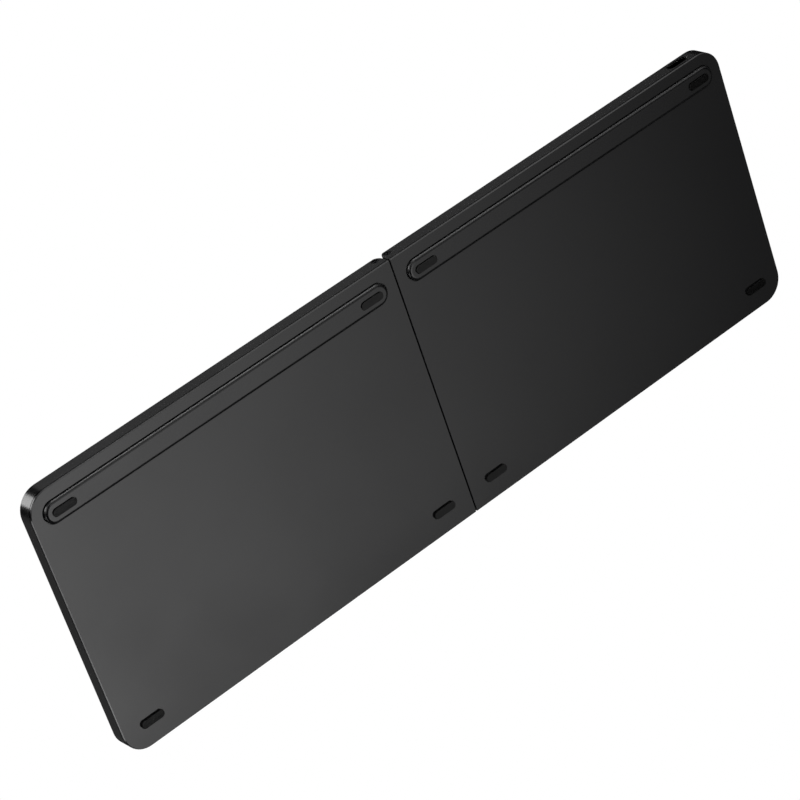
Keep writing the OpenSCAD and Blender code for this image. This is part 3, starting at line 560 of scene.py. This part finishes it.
def inside_of(tree, axis, low, high):
    """1 where a place lies between two points along one of the keyboard's axes."""
    return combine(tree, "MULTIPLY",
                   combine(tree, "GREATER_THAN", along_axis(tree, axis), low.dot(axis)),
                   combine(tree, "LESS_THAN", along_axis(tree, axis), high.dot(axis)))


def shell_black_and_shaded_inside(name, bright, black):
    """Bright metal on the rim and outside of a shell; black within it: plastic, and painted
    shade on the shell's inner walls.
    """
    material = metal(name, bright, roughness=SHELL_ROUGHNESS)
    tree = material.node_tree
    base = tree.nodes["Principled BSDF"].inputs["Base Color"]
    steel = base.links[0].from_socket
    # the black starts this far in, so it also paints the shell's metal inner walls as shade
    dark_inset = SHELL_WALL * BRIGHT_SHARE
    low = at(*(socket_low + Vector((dark_inset, 0, dark_inset))))
    high = at(*(socket_high - Vector((dark_inset, 0, dark_inset))))
    # painted shade: the shell's inner walls turn black along with the plastic tongue
    black_and_shaded_inside = combine(tree, "MULTIPLY", inside_of(tree, rightward, low, high),
                     inside_of(tree, upward, low, high))
    tree.links.new(blend_colours(tree, black_and_shaded_inside, steel, black), base)
    return material


socket_steel = shell_black_and_shaded_inside("nickel plated shell", SHELL_NICKEL, INSIDE_BLACK_AND_SHADE)
print("the socket is", round((socket_high - socket_low).x, 2), "mm wide")

# %% [markdown]
# ## Give every CAD node its material
# A CAD node keeps its mesh and only changes what fills its material slots. Sixty lines
# could name sixty nodes, but the two halves use the same pieces, so one table by the end
# of the name covers both, and whatever isn't in it is a keycap.

# %% Assign materials to the CAD nodes
FINISH = {
    "bottom_cover": cover_plastic, "frame": frame_plastic, "deck": deck_plastic,
    "support_bar": bar_plastic, "feet": foot_rubber, "key_plate": plate_steel,
    "dome_mat": dome_rubber, "scissors": support_plastic, "cover_screws": screw_steel,
    "hinge_pins": pin_steel, "main_board": board_mask, "battery": battery_foil,
    "charging_socket": socket_steel, "hinge_spine": spine_paint,
    "hinge_washers": washer_steel, "sensor_magnet": magnet_nickel,
}


def finish_of(name):
    """The finish of a node, by how its name ends."""
    for ending, material in FINISH.items():
        if name.endswith(ending):
            return material
    return cap_plastic


for name, node in nodes.items():
    node.data.materials.clear()
    node.data.materials.append(finish_of(name))
print("dressed nodes:", len(nodes))

# %% [markdown]
# ## The layout of the keys
# What is printed depends on which key is where. The rows are listed from the seam
# outwards, because the halves are mirrored: each key has its CAD node, its width in key
# units and its legend. Letters have a node each, and the other keys share one per group.

# %% The rows of keys
NUMBERS_LEFT, NUMBERS_RIGHT = "left_number_keys", "right_number_keys"
WORDS_LEFT, WORDS_RIGHT, SIGNS = "left_modifier_keys", "right_modifier_keys", "punctuation_keys"
CORNER_KEY, TAB, CAPS, SHIFT, LOW_KEY, SPACE, SIGN = 1.5, 2, 2.25, 2.5, 1.25, 2.5, 2.5 / 3
T_KEY, G_KEY = 1.5, 1.25


def letters(word, first_width=1):
    """Letter keys in a row: node, width in key units, legend."""
    return [("key_" + c.lower(), first_width if i == 0 else 1, c)
            for i, c in enumerate(word)]


def pairs(node, legends, width=1):
    """Keys with one sign above the other."""
    return [(node, width, legend[0] + "\n" + legend[1]) for legend in legends]


LEFT_ROWS = [
    pairs(NUMBERS_LEFT, ["^6", "%5", "$4", "#3", "@2", "!1"]) +
    [(NUMBERS_LEFT, CORNER_KEY, "Esc")],
    letters("TREWQ", T_KEY) + [(WORDS_LEFT, TAB, "Tab")],
    letters("GFDSA", G_KEY) + [(WORDS_LEFT, CAPS, "Caps")],
    letters("BVCXZ") + [(WORDS_LEFT, SHIFT, "Shift")],
    [("left_space_bar", SPACE, "")] +
    [(WORDS_LEFT, LOW_KEY, word) for word in ("Alt", "", "Fn", "Ctrl")],
]
RIGHT_ROWS = [
    pairs(NUMBERS_RIGHT, ["&7", "*8", "(9", ")0", "_-", "+="]) +
    [(NUMBERS_RIGHT, CORNER_KEY, "Backspace")],
    letters("YUIOP") + pairs(SIGNS, ["{[", "}]", "|\\"], SIGN),
    letters("HJKL") + pairs(SIGNS, [":;", "\"'"]) + [(WORDS_RIGHT, CORNER_KEY, "Enter")],
    letters("NM") + pairs(SIGNS, ["<,", ">.", "?/"]) + [(WORDS_RIGHT, SHIFT, "Shift")],
    [("right_space_bar", SPACE, ""), (WORDS_RIGHT, 1, "Alt"), (WORDS_RIGHT, 1, "Fn"),
     (WORDS_RIGHT, 1, "left arrow"), (WORDS_RIGHT, 0, "up arrow"),
     (WORDS_RIGHT, 1, "down arrow"), (WORDS_RIGHT, 1, "right arrow")],
]
print("keys:", sum(len(row) for row in LEFT_ROWS + RIGHT_ROWS))

# %% [markdown]
# ## Where each key is
# Two neighbours of the Y key give the pitch along a row and from row to row. From there
# every other key follows by counting. The up arrow shares its place with the down arrow:
# its width is 0 in the list, so that the count stays where it is, and each is half a key.

# %% Count out the keys
Y_KEY_ROW = 1
HALF_KEY_GAP = 1.0
PITCH_X = abs((measure("key_u")[0] - cap_low).x)
PITCH_Y = abs((measure("key_h")[0] - cap_low).y)
FIRST_X = cap_middle.x - PITCH_X / 2
FIRST_Y = cap_middle.y + PITCH_Y * (Y_KEY_ROW + 0.5)
CAP_WIDTH, CAP_DEPTH = (cap_high - cap_low).xy
CAP_GAP = PITCH_X - CAP_WIDTH
HALF_KEY_SHIFT = (CAP_DEPTH + HALF_KEY_GAP) / 4
SHIFTS = {"up arrow": HALF_KEY_SHIFT, "down arrow": -HALF_KEY_SHIFT}


def key_places(rows, side):
    """Yields node, legend, middle x, middle y and cap width for each key of a half."""
    for r, row in enumerate(rows):
        start = 0
        for node, width, legend in row:
            units = width or 1
            x = FIRST_X + (start + units / 2) * PITCH_X
            y = FIRST_Y - (r + 0.5) * PITCH_Y + SHIFTS.get(legend, 0)
            yield node, legend, side * x, y, units * PITCH_X - CAP_GAP
            start += width


print("pitch:", round(PITCH_X, 2), "by", round(PITCH_Y, 2), "mm")

# %% [markdown]
# ## The shapes of the legends
# Legends are pad printed: ink a few hundredths of a millimetre thick. A picture of the
# letters would need an image file and would blur from near. So each legend is a text
# object with Blender's own font, read out as points and faces, and then thrown away.
# Letters stand at the top left of their cap and words at the bottom left.

# %% Text and arrows as points and faces
LETTER_SIZE, SIGN_SIZE, WORD_SIZE = 4.6, 3.5, 3.0
CURVE_STEPS, LINE_SPACING = 5, 1.15
ARROW_SIZE = 1.5
ARROW_CORNERS = [(1, 0, 0), (-0.6, 0.9, 0), (-0.6, -0.9, 0)]
ARROW_TURNS = {"right": 0, "up": 90, "left": 180, "down": 270}


def text_shape(words, size):
    """The outline of some words as points and faces, in millimetres."""
    curve = bpy.data.curves.new("words", "FONT")
    curve.body = words
    curve.size = size
    curve.resolution_u = CURVE_STEPS
    curve.space_line = LINE_SPACING
    curve.align_x = "LEFT"
    curve.align_y = "CENTER"
    carrier = new_object("words", curve)
    mesh = bpy.data.meshes.new_from_object(carrier)
    points = [v.co.copy() for v in mesh.vertices]
    faces = [list(p.vertices) for p in mesh.polygons]
    bpy.data.objects.remove(carrier)
    bpy.data.curves.remove(curve)
    bpy.data.meshes.remove(mesh)
    return points, faces


def arrow_shape(pointing):
    """A triangle that points one way."""
    turned = Matrix.Rotation(math.radians(ARROW_TURNS[pointing]), 3, "Z")
    return [turned @ Vector(c) * ARROW_SIZE for c in ARROW_CORNERS], [[0, 1, 2]]


print("letter size:", LETTER_SIZE, "mm")

# %% Put a legend in its corner of the cap
LEGEND_MARGIN = 2.6
LETTER_BELOW_TOP, SIGNS_ABOVE_MIDDLE, WORD_ABOVE_BOTTOM = 4.4, 0.2, 3.6


def legend_shape(legend, width):
    """Points and faces of one key's legend about the middle of its cap."""
    if legend.endswith("arrow"):
        return arrow_shape(legend.split()[0])
    if len(legend) == 1:
        size, height = LETTER_SIZE, CAP_DEPTH / 2 - LETTER_BELOW_TOP
    elif "\n" in legend:
        size, height = SIGN_SIZE, SIGNS_ABOVE_MIDDLE
    else:
        size, height = WORD_SIZE, -CAP_DEPTH / 2 + WORD_ABOVE_BOTTOM
    points, faces = text_shape(legend, size)
    corner = Vector((-width / 2 + LEGEND_MARGIN, height, 0))
    return [p + corner for p in points], faces


print("legends start", LEGEND_MARGIN, "mm from the cap's left edge")

# %% [markdown]
# ## Ink
# White pad-printing ink is a matt film. It is never quite even, and the pad leaves it a
# little thinner in places. The moulded skin group gives both, at a much finer scale.

# %% Ink material
INK_WHITE = (0.62, 0.62, 0.60)
INK_GRAIN, INK_CLOUD = 12000.0, 400.0
THIN_INK = 0.8
INK_GLOSS_FROM, INK_GLOSS_TO = 0.5, 0.65


def printed_ink(name):
    """Matt ink that covers unevenly."""
    material, tree, shader = new_material(name)
    skin = place(tree, moulded_skin, Grain=INK_GRAIN, Cloud=INK_CLOUD)
    covered = blend_colours(tree, skin.outputs["Clouds"], shade(INK_WHITE, THIN_INK), INK_WHITE)
    tree.links.new(covered, shader.inputs["Base Color"])
    tree.links.new(remap(tree, skin.outputs["Height"], 0, 1, INK_GLOSS_FROM, INK_GLOSS_TO),
                   shader.inputs["Roughness"])
    return material


ink = printed_ink("legend ink")
print("material:", ink.name)

# %% [markdown]
# ## Printing the keys
# A cap's top is a shallow dish from left to right, so flat letters would sink into it.
# Each point of a legend is lifted to the height of the dish where it lies, and a hair
# more for the ink. Wide keys have flat tops. A Shrinkwrap modifier could press the text
# on the caps too, but the dish is a plain arc and its height is one line of arithmetic.
# All the legends of one moving group become one object that rides on that group, so they
# go down with their keys.

# %% The height of a cap's top
INK_LIFT = 0.012
DISH_DEPTH = 0.2
DISH_RADIUS = CAP_WIDTH ** 2 / (8 * DISH_DEPTH)
WIDE_KEY = 2 * PITCH_X
cap_top = measure("right_space_bar")[1].z


def surface_height(x, width):
    """Height of a cap's top at x from its middle."""
    if width >= WIDE_KEY:
        return cap_top
    depth = min(DISH_DEPTH, width ** 2 / (8 * DISH_RADIUS))
    return cap_top - max(0, depth - x ** 2 / (2 * DISH_RADIUS))


print("the dish has a radius of", round(DISH_RADIUS, 1), "mm")

# %% Print the legends
def mesh_from(name, built, material=None):
    """Turns a bmesh into a mesh with one material, or none yet."""
    mesh = bpy.data.meshes.new(name)
    built.to_mesh(mesh)
    built.free()
    if material:
        mesh.materials.append(material)
    return mesh


printed = {}
for rows, side in ((LEFT_ROWS, -1), (RIGHT_ROWS, 1)):
    for node, legend, x, y, width in key_places(rows, side):
        if legend:
            points, faces = legend_shape(legend, width)
            placed = [at(x + p.x, y + p.y, surface_height(p.x, width) + INK_LIFT)
                      for p in points]
            printed.setdefault(node, []).append((placed, faces))

for node, shapes in printed.items():
    built = bmesh.new()
    for points, faces in shapes:
        made = [built.verts.new(p) for p in points]
        for face in faces:
            built.faces.new([made[i] for i in face])
    name = "legend_" + node
    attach(new_object(name, mesh_from(name, built, ink)), node + "_body")
print("printed groups:", len(printed))

# %% [markdown]
# ## Home bars
# Typists find F and J by touch, from a small raised bar on each. It is moulded with the
# cap, so it has the cap's plastic. A half-buried capsule, made from a sphere pulled
# apart at its middle, gives the round ends and the soft top.

# %% Raise the home bars
BAR_LENGTH, BAR_WIDTH, BAR_RISE = 3.6, 0.7, 0.06
BAR_FORWARD = 4.2
CAPSULE_SEGMENTS, CAPSULE_RINGS = 16, 8


def home_bar(node, x, y):
    """A low capsule on the cap whose middle is at x, y."""
    built = bmesh.new()
    bmesh.ops.create_uvsphere(built, u_segments=CAPSULE_SEGMENTS, v_segments=CAPSULE_RINGS,
                              radius=BAR_WIDTH / 2)
    for v in built.verts:
        v.co.x += math.copysign((BAR_LENGTH - BAR_WIDTH) / 2, v.co.x)
        v.co.z *= 2 * BAR_RISE / BAR_WIDTH
        v.co = at(x + v.co.x, y - BAR_FORWARD + v.co.y,
                  surface_height(v.co.x, CAP_WIDTH) + v.co.z)
    mesh = mesh_from("home_bar_" + node, built, cap_plastic)
    for polygon in mesh.polygons:
        polygon.use_smooth = True
    bar = new_object("home_bar_" + node, mesh)
    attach(bar, node + "_body")


for node in ("key_f", "key_j"):
    low, high = measure(node)
    home_bar(node, (low.x + high.x) / 2, (low.y + high.y) / 2)
print("home bars on F and J")

# %% [markdown]
# ## Cable film
# The flat cable is copper tracks between two amber plastic films. The copper is brighter
# where a track runs and the film alone is darker between them, so a fine wave across the
# cable's width is enough: bands of copper, and bands of film.

# %% Cable film material
TRACK_SCALE = 320
TRACK_FROM, TRACK_TO = 0.45, 0.55
FILM_AMBER, COPPER = (0.30, 0.12, 0.025), (0.55, 0.24, 0.06)
FILM_ROUGHNESS, COPPER_ROUGHNESS = 0.35, 0.25


def cable_film(name):
    """Amber film with copper tracks along the cable."""
    material, tree, shader = new_material(name)
    where = add(tree, "ShaderNodeTexCoord")
    tracks = add(tree, "ShaderNodeTexWave", bands_direction="Y")
    tracks.inputs["Scale"].default_value = TRACK_SCALE
    tree.links.new(where.outputs["Object"], tracks.inputs["Vector"])
    copper = remap(tree, tracks.outputs["Fac"], TRACK_FROM, TRACK_TO, 0, 1)
    tree.links.new(blend_colours(tree, copper, FILM_AMBER, COPPER),
                   shader.inputs["Base Color"])
    tree.links.new(remap(tree, copper, 0, 1, FILM_ROUGHNESS, COPPER_ROUGHNESS),
                   shader.inputs["Roughness"])
    return material


film = cable_film("cable film")
print("material:", film.name)

# %% [markdown]
# ## The flat cable across the seam
# The halves are joined electrically by a flat film cable that runs through a slot in the
# spine. A rigid CAD strip can't bend, so two strips replace it: each runs from the middle
# of the spine out into one half, and turns smoothly round its pin on the way. The strips
# need many thin slices where they bend.

# %% The cable's route
# From the middle of the spine outwards, as x and height in millimetres
CABLE_Y, CABLE_WIDTH, CABLE_THICK = 31.0, 8.0, 0.2
CABLE_ROUTE = [(0.0, 4.4), (2.7, 4.4), (3.95, 4.0), (5.2, 3.3), (6.25, 2.4), (7.75, 2.2)]
SLICE = 0.4
BENDS_END, STRAIGHT_STEPS = 9, 4


def cable_heights(end):
    """Points along the cable's route: a slice apart in its bends, then out to its end."""
    route = CABLE_ROUTE + [(end, CABLE_ROUTE[-1][1])]
    points = []
    for (x0, z0), (x1, z1) in zip(route, route[1:]):
        steps = max(1, round((x1 - x0) / SLICE)) if x1 < BENDS_END else STRAIGHT_STEPS
        points += [(x0 + (x1 - x0) * i / steps, z0 + (z1 - z0) * i / steps)
                   for i in range(steps)]
    return points + [route[-1]]


cable_low, cable_high = measure("flex_cable")
print("the cable reaches from", round(cable_low.x, 1), "to", round(cable_high.x, 1), "mm")

# %% Shape the two strips
SECTION = ((-1, -1), (1, -1), (1, 1), (-1, 1))


def cable_strip(name, side, end):
    """One strip from the middle of the spine out to its end in a half."""
    built = bmesh.new()
    rings = [[built.verts.new(at(side * x, CABLE_Y + across_y * CABLE_WIDTH / 2,
                                 z + up_z * CABLE_THICK / 2)) for across_y, up_z in SECTION]
             for x, z in cable_heights(end)]
    for first, second in zip(rings, rings[1:]):
        for i in range(len(SECTION)):
            j = (i + 1) % len(SECTION)
            built.faces.new([first[i], first[j], second[j], second[i]])
    built.faces.new(rings[0])
    built.faces.new(rings[-1])
    bmesh.ops.recalc_face_normals(built, faces=built.faces)
    strip = new_object(name, mesh_from(name, built, film))
    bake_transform(strip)
    return strip


left_strip = cable_strip("cable_left", -1, -cable_low.x)
right_strip = cable_strip("cable_right", 1, cable_high.x)
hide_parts("flex_cable")
print("cable slices:", len(left_strip.data.vertices) // len(SECTION),
      len(right_strip.data.vertices) // len(SECTION))

# %% [markdown]
# ## The floor
# The keyboard stands on a plain pale floor, but this camera looks up from under it. So
# the floor shows itself only to a camera above it: its back face is clear, and so it is
# for every ray that isn't the camera's, which lets the low lamps light the underside.

# %% Floor
FLOOR_SIZE = 6.0
FLOOR_PALE = (0.80, 0.80, 0.80, 1)


def pale_floor():
    """Matt from above for the camera, and clear for everything else."""
    material, tree, shader = new_material("pale floor")
    tree.nodes.remove(shader)
    matt = add(tree, "ShaderNodeBsdfDiffuse")
    matt.inputs["Color"].default_value = FLOOR_PALE
    clear = add(tree, "ShaderNodeBsdfTransparent")
    path = add(tree, "ShaderNodeLightPath")
    side = add(tree, "ShaderNodeNewGeometry")
    front = combine(tree, "SUBTRACT", 1.0, side.outputs["Backfacing"])
    seen = combine(tree, "MULTIPLY", path.outputs["Is Camera Ray"], front)
    mix = add(tree, "ShaderNodeMixShader")
    for socket, source in zip(mix.inputs, (seen, clear.outputs["BSDF"], matt.outputs["BSDF"])):
        tree.links.new(source, socket)
    tree.links.new(mix.outputs["Shader"], tree.nodes["Material Output"].inputs["Surface"])
    return material


def square(name, half):
    """A flat square mesh that reaches half each way."""
    mesh = bpy.data.meshes.new(name)
    mesh.from_pydata([(-half, -half, 0), (half, -half, 0), (half, half, 0), (-half, half, 0)],
                     [], [(0, 1, 2, 3)])
    return mesh


floor = new_object("floor", square("floor", FLOOR_SIZE / 2))
floor.data.materials.append(pale_floor())
print("floor:", FLOOR_SIZE, "m across")

# %% [markdown]
# ## The world
# The world is white where it is seen, straight or in a shiny surface, and a dim grey
# where it lights the piece. One number for both would either grey the background or
# flood the black plastic with light. The Light Path node tells the two kinds apart.

# %% World
AMBIENT = 0.25
WHITE = (1, 1, 1, 1)
world = bpy.data.worlds.new("studio")
world.use_nodes = True
scene.world = world
world_tree = world.node_tree
backdrop = world_tree.nodes["Background"]
backdrop.inputs["Color"].default_value = WHITE
rays = add(world_tree, "ShaderNodeLightPath")
showing = combine(world_tree, "MAXIMUM", rays.outputs["Is Camera Ray"],
                  combine(world_tree, "MAXIMUM", rays.outputs["Is Glossy Ray"],
                          rays.outputs["Is Transmission Ray"]))
world_tree.links.new(remap(world_tree, showing, 0, 1, AMBIENT, 1),
                     backdrop.inputs["Strength"])
scene.view_settings.view_transform = "Standard"
print("ambient light:", AMBIENT)

# %% [markdown]
# ## The lamps
# Large soft boxes give matt plastic its gentle gradients. One hangs over the keys, one
# fills from the rear, and two stand below and light the underside. They are kept out of
# the gloss, because in it they would show as hard squares: the cards do that work.

# %% Hang the lamps
def softbox(name, place_at, aim_at, size, watts):
    """A square lamp that lights the piece but is never seen itself."""
    data = bpy.data.lights.new(name, "AREA")
    data.shape = "SQUARE"
    data.size = size
    data.energy = watts
    lamp = new_object(name, data)
    lamp.location = place_at
    toward = Vector(aim_at) - Vector(place_at)
    lamp.rotation_euler = toward.to_track_quat("-Z", "Y").to_euler()
    lamp.visible_camera = False
    lamp.visible_glossy = False


# Name, place, point it aims at, size in metres, watts
LAMPS = [
    ("over_keys", (0.2, -0.3, 1.2), (0, 0, 0), 1.0, 14),
    ("rear_fill", (-0.6, 1.2, 0.7), (0, 0, 0), 0.8, 6),
    ("below_right_end", (0.42, -0.25, -0.45), (0.12, 0, 0), 0.35, 1.6),
    ("below_rear", (0.1, 0.9, -0.3), (0, 0, 0), 0.6, 2.0),
]
for settings in LAMPS:
    softbox(*settings)
print("lamps:", len(LAMPS))

# %% [markdown]
# ## Cards for the gloss
# Black gloss has almost no colour of its own: what we see in it is the room. A studio
# therefore surrounds a glossy black product with cards, and so does this scene. They
# could be lamps, but a card's brightness is simply what the gloss mirrors, and it can
# fade along its length. Only glossy rays see the cards, so they shape the gloss and
# leave the light as it is.

# %% What a card is made of
def glow_material(name, start, end, swell):
    """Light that grows from start to end along the card's own X axis, from -1 to 1.

    It grows evenly with a swell of 1, and slowly at first with a swell of 2."""
    material, tree, shader = new_material(name)
    tree.nodes.remove(shader)
    glow = add(tree, "ShaderNodeEmission")
    where = add(tree, "ShaderNodeTexCoord")
    along = add(tree, "ShaderNodeSeparateXYZ")
    tree.links.new(where.outputs["Object"], along.inputs["Vector"])
    grown = combine(tree, "POWER", remap(tree, along.outputs["X"], -1, 1, 0, 1), swell)
    tree.links.new(remap(tree, grown, 0, 1, start, end), glow.inputs["Strength"])
    tree.links.new(glow.outputs["Emission"], tree.nodes["Material Output"].inputs["Surface"])
    return material


def only_in_gloss(mesh, start, end, swell=1):
    """Makes a stage object that nothing but glossy rays can see."""
    mesh.materials.append(glow_material(mesh.name, start, end, swell))
    shown = new_object(mesh.name, mesh)
    shown.visible_camera = False
    shown.visible_diffuse = False
    shown.visible_transmission = False
    shown.visible_volume_scatter = False
    shown.visible_shadow = False
    return shown


print("cards can be made")

# %% [markdown]
# ## A dark tent
# Whatever no card covers would mirror the white world. A round tent stands between the
# two. Its walls are grey, which is what the upright rims of the keyboard mirror, and its
# roof is almost black, which keeps the deck and the tops of the caps deep.

# %% Pitch the tent
TENT_RADIUS = 3.0
TENT_FOOT = -0.5
WALL_TOP = 1.7
TENT_SEGMENTS, TENT_RINGS = 32, 16
WALL_GREY, ROOF_BLACK = 0.10, 0.003


def tent_part(name, low, high, glow):
    """The part of a round tent between two heights above its foot."""
    built = bmesh.new()
    bmesh.ops.create_uvsphere(built, u_segments=TENT_SEGMENTS, v_segments=TENT_RINGS,
                              radius=TENT_RADIUS)
    outside = [f for f in built.faces if not low < f.calc_center_median().z < high]
    bmesh.ops.delete(built, geom=outside, context="FACES")
    only_in_gloss(mesh_from(name, built), glow, glow).location.z = TENT_FOOT


tent_part("tent_walls", 0, WALL_TOP, WALL_GREY)
tent_part("tent_roof", WALL_TOP, TENT_RADIUS, ROOF_BLACK)
print("tent:", 2 * TENT_RADIUS, "m across")

# %% [markdown]
# ## Twelve cards
# Each card stands where one face of the keyboard mirrors it towards the camera. Two dark
# sheets keep the underside deep, and two glowing ones on them give it a long gradient.
# Low strips draw the lines along the lower chamfers, the rear strip draws the one along
# the rear bars, large sheets lift the rear and end walls, and the boxes at the corner
# make the bright band that wraps round it.

# %% Stand up the cards
BLACK_CARD = 0.002


def card(name, middle, side, rise, glow, swell=1):
    """A flat card about its middle; its light goes from glow[0] to glow[1] along its side."""
    made = only_in_gloss(square(name, 1), *glow, swell)
    side, rise = Vector(side) / 2, Vector(rise) / 2
    made.matrix_world = Matrix((side, rise, side.cross(rise).normalized())).transposed().to_4x4()
    made.matrix_world.translation = middle


# Name, middle, length and height of the card as directions, light at its two ends, swell
CARDS = [
    ("dark_sheet", (-1.20, -1.14, -0.52), (3.6, 0, 0), (0, 3.72, 0),
     (BLACK_CARD, BLACK_CARD)),
    ("dark_end_sheet", (1.80, -1.40, -0.52), (2.4, 0, 0), (0, 3.20, 0),
     (BLACK_CARD, BLACK_CARD)),
    ("underside_glow", (-0.30, -0.20, -0.5), (0.78, 0, 0), (0, 0.44, 0), (0.03, 3.00), 2),
    ("underside_rear", (-0.30, 0.235, -0.5), (0.78, 0, 0), (0, 0.43, 0), (0.02, 1.50), 2),
    ("rear_low_strip", (-0.555, 1.0, -0.535), (0.85, 0, 0), (0, 0, 0.12), (2.3, 2.3)),
    ("rear_strip", (-0.45, 1.0, 0.01), (0.6, 0, 0), (0, 0, 0.20), (2.0, 10.0)),
    ("rear_sheet", (-0.975, 1.0, 1.55), (1.45, 0, 0), (0, 0, 0.9), (0.13, 0.52)),
    ("end_low_strip", (1.0, -0.53, -0.345), (0, 0.6, 0), (0, 0, 0.12), (5.4, 5.4)),
    ("end_sheet", (0.64, -0.75, 1.2), (0.9, 0, 0), (0, 0.9, 0), (0.11, 0.11)),
    ("corner_low_strip", (0.92, 0.67, -0.68), (-0.37, 0.47, 0), (0, 0, 0.25), (3.0, 3.0)),
    ("corner_strip", (0.86, 0.66, 0.0), (-0.37, 0.47, 0), (0, 0, 0.4), (6.0, 6.0)),
    ("corner_box", (0.80, 0.67, 1.25), (-0.51, 0.61, 0), (-0.35, -0.30, 0.39), (6.5, 6.5)),
]
for settings in CARDS:
    card(*settings)
print("cards:", len(CARDS))
